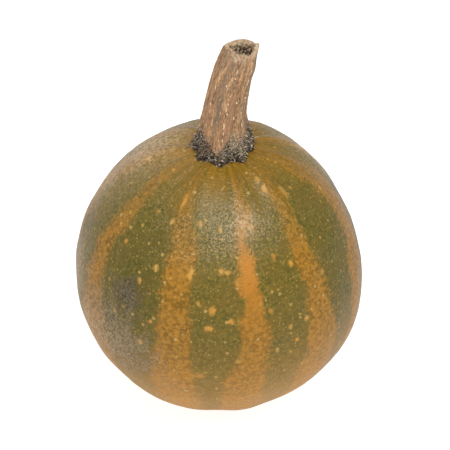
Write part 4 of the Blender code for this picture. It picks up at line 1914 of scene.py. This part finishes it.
@dataclass
class Warts(Growths):
    """Pale corky warts in broken rows along the stem's ridges."""

    piece: str = "cork_warts"
    seed: int = 61
    spacing: float = 2.6 * MM
    half_widths: tuple[float, float] = (0.22 * MM, 0.42 * MM)
    stretch: tuple[float, float] = (1.3, 4.0)
    flatness: float = 0.7
    straying: float = 2.2
    heights: tuple[float, float] = (11 * MM, 50 * MM)
    rows: tuple[tuple[float, float], ...] = (
        (-5, 0.95), (42, 0.85), (-52, 0.45), (-98, 0.5), (88, 0.5), (130, 0.6), (172, 0.8), (-145, 0.6),
        (18, 0.25), (-28, 0.2),
    )

    def grow(self, draw: np.random.Generator, bm: bmesh.types.BMesh) -> list[float]:
        """Grows the warts, each a low mound that is longer along the stem.

        Args:
            draw: the random numbers.
            bm: the mesh that they are added to.

        Returns:
            A shade for each vertex.
        """
        shades: list[float] = []
        for ridge, share in self.rows:
            height = self.heights[0]
            while height < self.heights[1]:
                height += self.spacing * draw.uniform(0.6, 1.5)
                twist = self.stem.twist * height / self.stem.height
                longitude = ridge + twist + draw.normal(0, self.straying)
                if draw.uniform() > share:
                    continue
                place = Vector(self.stem.wall(longitude, height))
                along = (Vector(self.stem.wall(longitude, height + MM)) - place).normalized()
                out = (place - Vector(self.stem.centre(np.array(height)))).normalized()
                half = draw.uniform(*self.half_widths)
                long_half = half * draw.uniform(*self.stretch)
                sizes = (along.cross(out) * half, along * long_half, out * half * self.flatness)
                made = bmesh.ops.create_icosphere(bm, subdivisions=2, radius=1.0)["verts"]
                for vertex in made:
                    lump = 1 + 0.35 * noise.noise(vertex.co * 1.7 + place * 1000)
                    mound = sum((size * reach for size, reach in zip(sizes, vertex.co)), Vector())
                    vertex.co = place + mound * lump
                shades.extend([draw.uniform() ** 0.7] * len(made))
        return shades


@dataclass
class Spikes(Growths):
    """Fibres or splinters that stand roughly along the stem at its cut end."""

    count: int
    lengths: tuple[float, float]
    thickest: float
    lean: float
    curl: float = 0.35
    thinnest_share: float = 0.5
    joints: tuple[float, ...] = (0.0, 0.35, 0.7, 1.0)

    def root(self, draw: np.random.Generator) -> Vector:
        """Where the next spike stands."""
        raise NotImplementedError

    def grow(self, draw: np.random.Generator, bm: bmesh.types.BMesh) -> list[float]:
        """Grows the spikes, after all their roots are drawn.

        Args:
            draw: the random numbers.
            bm: the mesh that they are added to.

        Returns:
            A shade for each vertex.
        """
        top = self.stem.height
        below, end = self.stem.centre(np.array(top - MM)), self.stem.centre(np.array(top))
        up = Vector(end - below).normalized()
        shades: list[float] = []
        for root in [self.root(draw) for _ in range(self.count)]:
            heading = (up + Vector(draw.uniform(-self.lean, self.lean, 3))).normalized()
            curl = Vector(draw.uniform(-self.curl, self.curl, 3))
            length = draw.uniform(*self.lengths)
            points = [root + (heading * share + curl * share**2) * length for share in self.joints]
            made = add_spike(bm, points, self.thickest * draw.uniform(self.thinnest_share, 1.0), taper=0.6)
            shades.extend([draw.uniform() ** 1.5] * made)
        bmesh.ops.recalc_face_normals(bm, faces=bm.faces)
        return shades


@dataclass
class Fibres(Spikes):
    """Loose fibres that stand in the hollow of the cut end."""

    piece: str = "pith_fibres"
    seed: int = 51
    count: int = 190
    lengths: tuple[float, float] = (0.8 * MM, 2.6 * MM)
    thickest: float = 0.17 * MM
    lean: float = 0.9
    reach: float = 0.82
    sunk: float = 0.3 * MM

    def root(self, draw: np.random.Generator) -> Vector:
        """Where the next fibre stands in the hollow.

        Args:
            draw: the random numbers.

        Returns:
            The place.
        """
        share = self.reach * math.sqrt(draw.uniform())
        longitude = draw.uniform(0, 360)
        depth = self.stem.hollow_depth(share) + self.sunk
        inset = self.stem.oval(np.array(longitude), share)
        return Vector(self.stem.wall(longitude, self.stem.height - depth, inset))


@dataclass
class Splinters(Spikes):
    """Splinters of cork round the torn rim."""

    piece: str = "rim_splinters"
    seed: int = 52
    count: int = 120
    lengths: tuple[float, float] = (0.6 * MM, 1.7 * MM)
    thickest: float = 0.26 * MM
    lean: float = 0.45
    shares: tuple[float, float] = (0.86, 0.97)
    sunk: float = 0.6 * MM

    def root(self, draw: np.random.Generator) -> Vector:
        """Where the next splinter stands on the rim.

        Args:
            draw: the random numbers.

        Returns:
            The place.
        """
        longitude = draw.uniform(0, 360)
        level = float(self.stem.cut_height(np.array(longitude))) - self.sunk
        return Vector(self.stem.wall(longitude, level, draw.uniform(*self.shares)))


# The studio


@dataclass(frozen=True)
class SoftLight:
    """A square soft light: its place from the fruit's middle, its side in metres, and its power in watts."""

    name: str
    heading: tuple[float, float, float]
    size: float
    power: float


@dataclass
class Studio:
    """The floor, the lights and the camera."""

    elevation: float = 40.0
    distance: float = 0.9
    focal_pixels: float = 1507.0
    frame_pixels: float = 450.0
    sensor: float = 36.0
    middle: tuple[float, float, float] = (0.0, 0.0, 0.0855)
    middle_pixel: tuple[float, float] = (218.5, 264.0)
    floor_half: float = 4.0
    world_left: float = 0.64
    world_right: float = 0.32
    lights: tuple[SoftLight, ...] = (
        SoftLight("key_light", (0.40, -0.62, 1.42), 1.2, 14.0),
        SoftLight("glint_light", (0.10, -0.49, 1.52), 0.5, 8.0),
    )

    def add_floor(self, material: bpy.types.Material) -> None:
        """Lays the floor.

        Args:
            material: the floor's material.
        """
        bm = bmesh.new()
        bmesh.ops.create_grid(bm, x_segments=8, y_segments=8, size=self.floor_half)
        floor = add_mesh("studio_floor", bm)
        floor.data.materials.append(material)

    def add_camera(self) -> None:
        """Sets the camera where the photograph was taken from, and frames the fruit as it was."""
        tilt = math.radians(self.elevation)
        back = Vector((0, -math.cos(tilt), math.sin(tilt)))
        up = Vector((0, math.sin(tilt), math.cos(tilt)))
        right = Vector((1, 0, 0))
        middle = Vector(self.middle)
        pixel = self.distance / self.focal_pixels
        half = self.frame_pixels / 2
        aside, above = half - self.middle_pixel[0], self.middle_pixel[1] - half
        aim = middle + right * aside * pixel + up * above * pixel
        data = bpy.data.cameras.new("camera")
        data.sensor_width = self.sensor
        data.lens = self.focal_pixels * self.sensor / self.frame_pixels
        camera = bpy.data.objects.new("camera", data)
        camera.location = middle + back * self.distance
        camera.rotation_euler = (aim - camera.location).to_track_quat("-Z", "Y").to_euler()
        bpy.context.scene.collection.objects.link(camera)
        bpy.context.scene.camera = camera

    def add_light(self, light: SoftLight) -> None:
        """Adds a soft light that faces the fruit.

        Args:
            light: the light.
        """
        data = bpy.data.lights.new(light.name, "AREA")
        data.size = light.size
        data.energy = light.power
        lamp = bpy.data.objects.new(light.name, data)
        lamp.location = Vector(self.middle) + Vector(light.heading)
        lamp.rotation_euler = (-Vector(light.heading)).to_track_quat("-Z", "Y").to_euler()
        bpy.context.scene.collection.objects.link(lamp)

    def light_up(self) -> None:
        """Sets the white surroundings, which are brighter on the left, and the soft lights."""
        world = bpy.data.worlds.new("white_room")
        world.use_nodes = True
        wiring = Wiring(world.node_tree)
        heading = wiring.add("ShaderNodeTexCoord", {}).outputs["Generated"]
        side = wiring.add("ShaderNodeSeparateXYZ", {0: heading}).outputs["X"]
        background = world.node_tree.nodes["Background"]
        wiring.feed(background.inputs["Color"], (1.0, 1.0, 1.0))
        brightness = wiring.ramp(side, -1.0, 1.0, self.world_left, self.world_right)
        wiring.feed(background.inputs["Strength"], brightness)
        bpy.context.scene.world = world
        bpy.context.scene.view_settings.view_transform = "Standard"
        for light in self.lights:
            self.add_light(light)

    def build(self, floor_material: bpy.types.Material) -> None:
        """Builds the whole studio.

        Args:
            floor_material: the floor's material.
        """
        self.add_floor(floor_material)
        self.add_camera()
        self.light_up()


def main() -> None:
    """Builds the pumpkin's pieces and the studio, in order."""
    logging.basicConfig(level=logging.INFO, format="%(name)s: %(message)s")
    effects = Effects()
    rind = Rind()
    report(rind.build(RindFinish().material(effects)))
    stem = Stem(rind)
    report(stem.build(BarkFinish().material(effects)))
    report(Warts(stem).build(WART_CORK.material(effects)))
    report(Fibres(stem).build(PITH.material(effects)))
    report(Splinters(stem).build(RIM_CORK.material(effects)))
    report(Crumbs(stem).build(SCURF.material(effects)))
    pale_hair = PALE_HAIR.material(effects)
    report(BristleKind.DARK.on(stem).build(DARK_HAIR.material(effects)))
    report(BristleKind.PALE.on(stem).build(pale_hair))
    report(BristleKind.LONG.on(stem).build(pale_hair))
    Studio().build(FloorFinish().material(effects))


if __name__ == "__main__":
    main()
